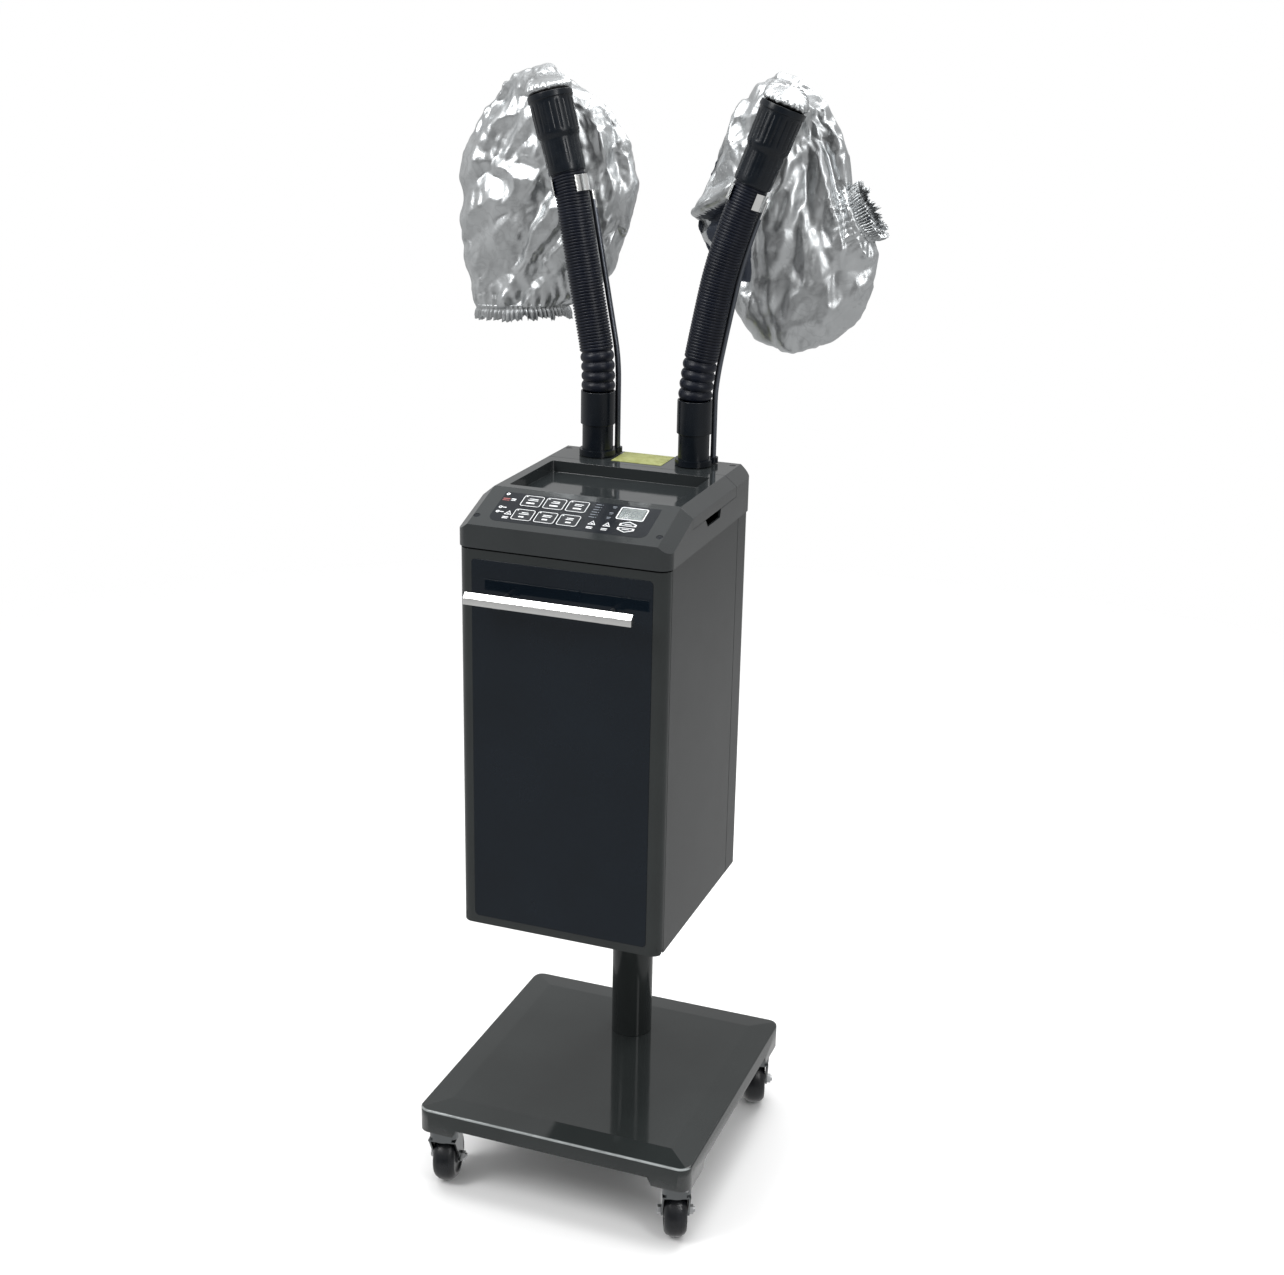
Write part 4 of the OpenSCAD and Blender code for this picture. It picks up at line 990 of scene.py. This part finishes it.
def elastic(name, oval, body):
    """The gathered hem: a short frill of sharp pleats pulled in by its elastic."""
    per, n = 62, 744
    rng = np.random.default_rng(5)
    jitter, tall = rng.uniform(-0.3, 0.3, per), rng.uniform(0.75, 1.2, per)
    t = np.linspace(-math.pi, math.pi, n, endpoint=False)
    base = oval.rim(t)
    out = base - oval.mid
    out /= np.linalg.norm(out, axis=1)[:, None]
    u = np.linspace(0, per, n, endpoint=False)
    k = u.astype(int)
    fold = np.abs(((u + jitter[k] * np.sin(math.pi * (u - k)) ** 2) % 1.0) * 4 - 2) - 1
    verts = []
    rows = np.linspace(0, 1, 12)
    for v in rows:
        waist = -0.0018 * math.exp(-((v - 0.3) / 0.14) ** 2)
        depth = 0.0012 + 0.0026 * max(0.0, v - 0.3) / 0.7
        high = -0.005 + 0.0195 * v * (1 + (tall[k] - 1) * v + 0.06 * fold * v)
        verts += list(base + oval.way * high[:, None] + out * (waist + 0.0008 + depth * fold)[:, None])
    faces = [(j * n + i, j * n + (i + 1) % n, (j + 1) * n + (i + 1) % n, (j + 1) * n + i)
             for j in range(len(rows) - 1) for i in range(n)]
    o = piece(name, verts, faces, body, M["elastic"])
    m = o.modifiers.new("cloth_thickness", "SOLIDIFY")
    m.thickness, m.offset = 0.0004, 0
    return o


for side in (-1, 1):
    cloth, hem = bonnet(side)


# ---------------------------------------------------------------- stage and light
def lamp(name, where, aim, size, power):
    d = bpy.data.lights.new(name, "AREA")
    d.shape, d.size, d.size_y, d.energy = "RECTANGLE", size[0], size[1], power
    o = bpy.data.objects.new(name, d)
    scene.collection.objects.link(o)
    o.location = where
    o.rotation_euler = (Vector(aim) - Vector(where)).to_track_quat("-Z", "Y").to_euler()
    return o


bm = bmesh.new()
bmesh.ops.create_circle(bm, cap_ends=True, segments=64, radius=3.6)
me = bpy.data.meshes.new("floor")
bm.to_mesh(me)
bm.free()
floor = bpy.data.objects.new("floor", me)
scene.collection.objects.link(floor)
floor.location = (0, 0, -0.0005)
floor.visible_glossy = False      # glossy faces mirror the room's own lower half instead
# Pale floor that fades into the white surroundings, so that no horizon shows
n = Nodes("floor_pale")
n.finish(n.ramp(n.noise(0.8, 3), [(0.3, (0.86, 0.86, 0.86)), (0.7, (0.89, 0.89, 0.89))]),
         n.ramp(n.noise(2, 2), [(0.3, 0.6), (0.7, 0.7)]), n.bump(n.noise(60, 3), 0.02, 0.002))
far = n.add("ShaderNodeVectorMath", operation="LENGTH")
n.link(n.space, far.inputs[0])
clear = n.add("ShaderNodeBsdfTransparent")
fade = n.add("ShaderNodeMixShader")
n.link(n.ramp(n.math("DIVIDE", far.outputs["Value"], 3.6), [(0.2, 0.0), (0.85, 1.0)]), fade.inputs["Fac"])
n.link(n.bsdf.outputs[0], fade.inputs[1])
n.link(clear.outputs[0], fade.inputs[2])
n.link(fade.outputs[0], n.tree.nodes["Material Output"].inputs["Surface"])
me.materials.append(n.mat)

# White studio on the right, at the back and overhead; a dim room in front, which the glossy
# front and the silver cloth mirror
world = bpy.data.worlds.new("studio")
scene.world = world
world.use_nodes = True
t = world.node_tree
bg = t.nodes["Background"]
path = t.nodes.new("ShaderNodeLightPath")
co = t.nodes.new("ShaderNodeTexCoord")
sep = t.nodes.new("ShaderNodeSeparateXYZ")
t.links.new(co.outputs["Generated"], sep.inputs[0])


def glow(axis, stops):
    """Brightness by one component of the direction."""
    half = t.nodes.new("ShaderNodeMath")
    half.operation = "MULTIPLY_ADD"
    half.inputs[1].default_value = half.inputs[2].default_value = 0.5
    t.links.new(sep.outputs[axis], half.inputs[0])
    ramp = t.nodes.new("ShaderNodeValToRGB")
    while len(ramp.color_ramp.elements) < len(stops):
        ramp.color_ramp.elements.new(0.5)
    for e, (at_, v) in zip(ramp.color_ramp.elements, stops):
        e.position, e.color = at_ / 2 + 0.5, (v, v, v, 1)
    t.links.new(half.outputs[0], ramp.inputs["Fac"])
    return ramp.outputs["Color"]


def joined(how, a, b):
    m = t.nodes.new("ShaderNodeMath")
    m.operation = how
    t.links.new(a, m.inputs[0])
    t.links.new(b, m.inputs[1])
    return m.outputs[0]


depth = joined("MULTIPLY", glow("Y", [(-0.9, 0.12), (-0.35, 0.23), (0.1, 0.6), (0.6, 0.68)]),
               glow("Z", [(-0.6, 0.3), (-0.25, 0.58), (0.15, 0.85), (0.6, 1.0)]))
overhead = glow("Z", [(-0.34, 0.6), (-0.12, 0.13), (0.2, 0.15), (0.65, 0.75), (0.9, 0.9)])
sideways = glow("X", [(-0.95, 0.7), (-0.6, 0.12), (0.3, 0.13), (0.8, 0.5)])
room = joined("MAXIMUM", joined("MAXIMUM", depth, overhead), sideways)
mix = t.nodes.new("ShaderNodeMix")
mix.data_type = "RGBA"
t.links.new(path.outputs["Is Camera Ray"], mix.inputs["Factor"])
t.links.new(room, mix.inputs[6])
mix.inputs[7].default_value = (1, 1, 1, 1)
t.links.new(mix.outputs[2], bg.inputs["Color"])
bg.inputs["Strength"].default_value = 1.0

mid = Vector(((CAD_LO.x + CAD_HI.x) / 2, (CAD_LO.y + CAD_HI.y) / 2, 0.9))
lamp("key", mid + Vector((-1.8, -2.2, 2.2)), mid, (1.0, 1.6), 66)
lamp("fill", mid + Vector((2.4, -1.6, 1.6)), mid, (0.6, 1.8), 30)
lamp("top", mid + Vector((0.2, 0.2, 3.0)), mid, (1.8, 1.8), 70)
lamp("back", mid + Vector((0.9, 2.4, 2.5)), mid, (1.5, 1.2), 34)
lamp("edge", mid + Vector((-1.05, -0.5, 2.6)), mid, (0.9, 0.5), 16)
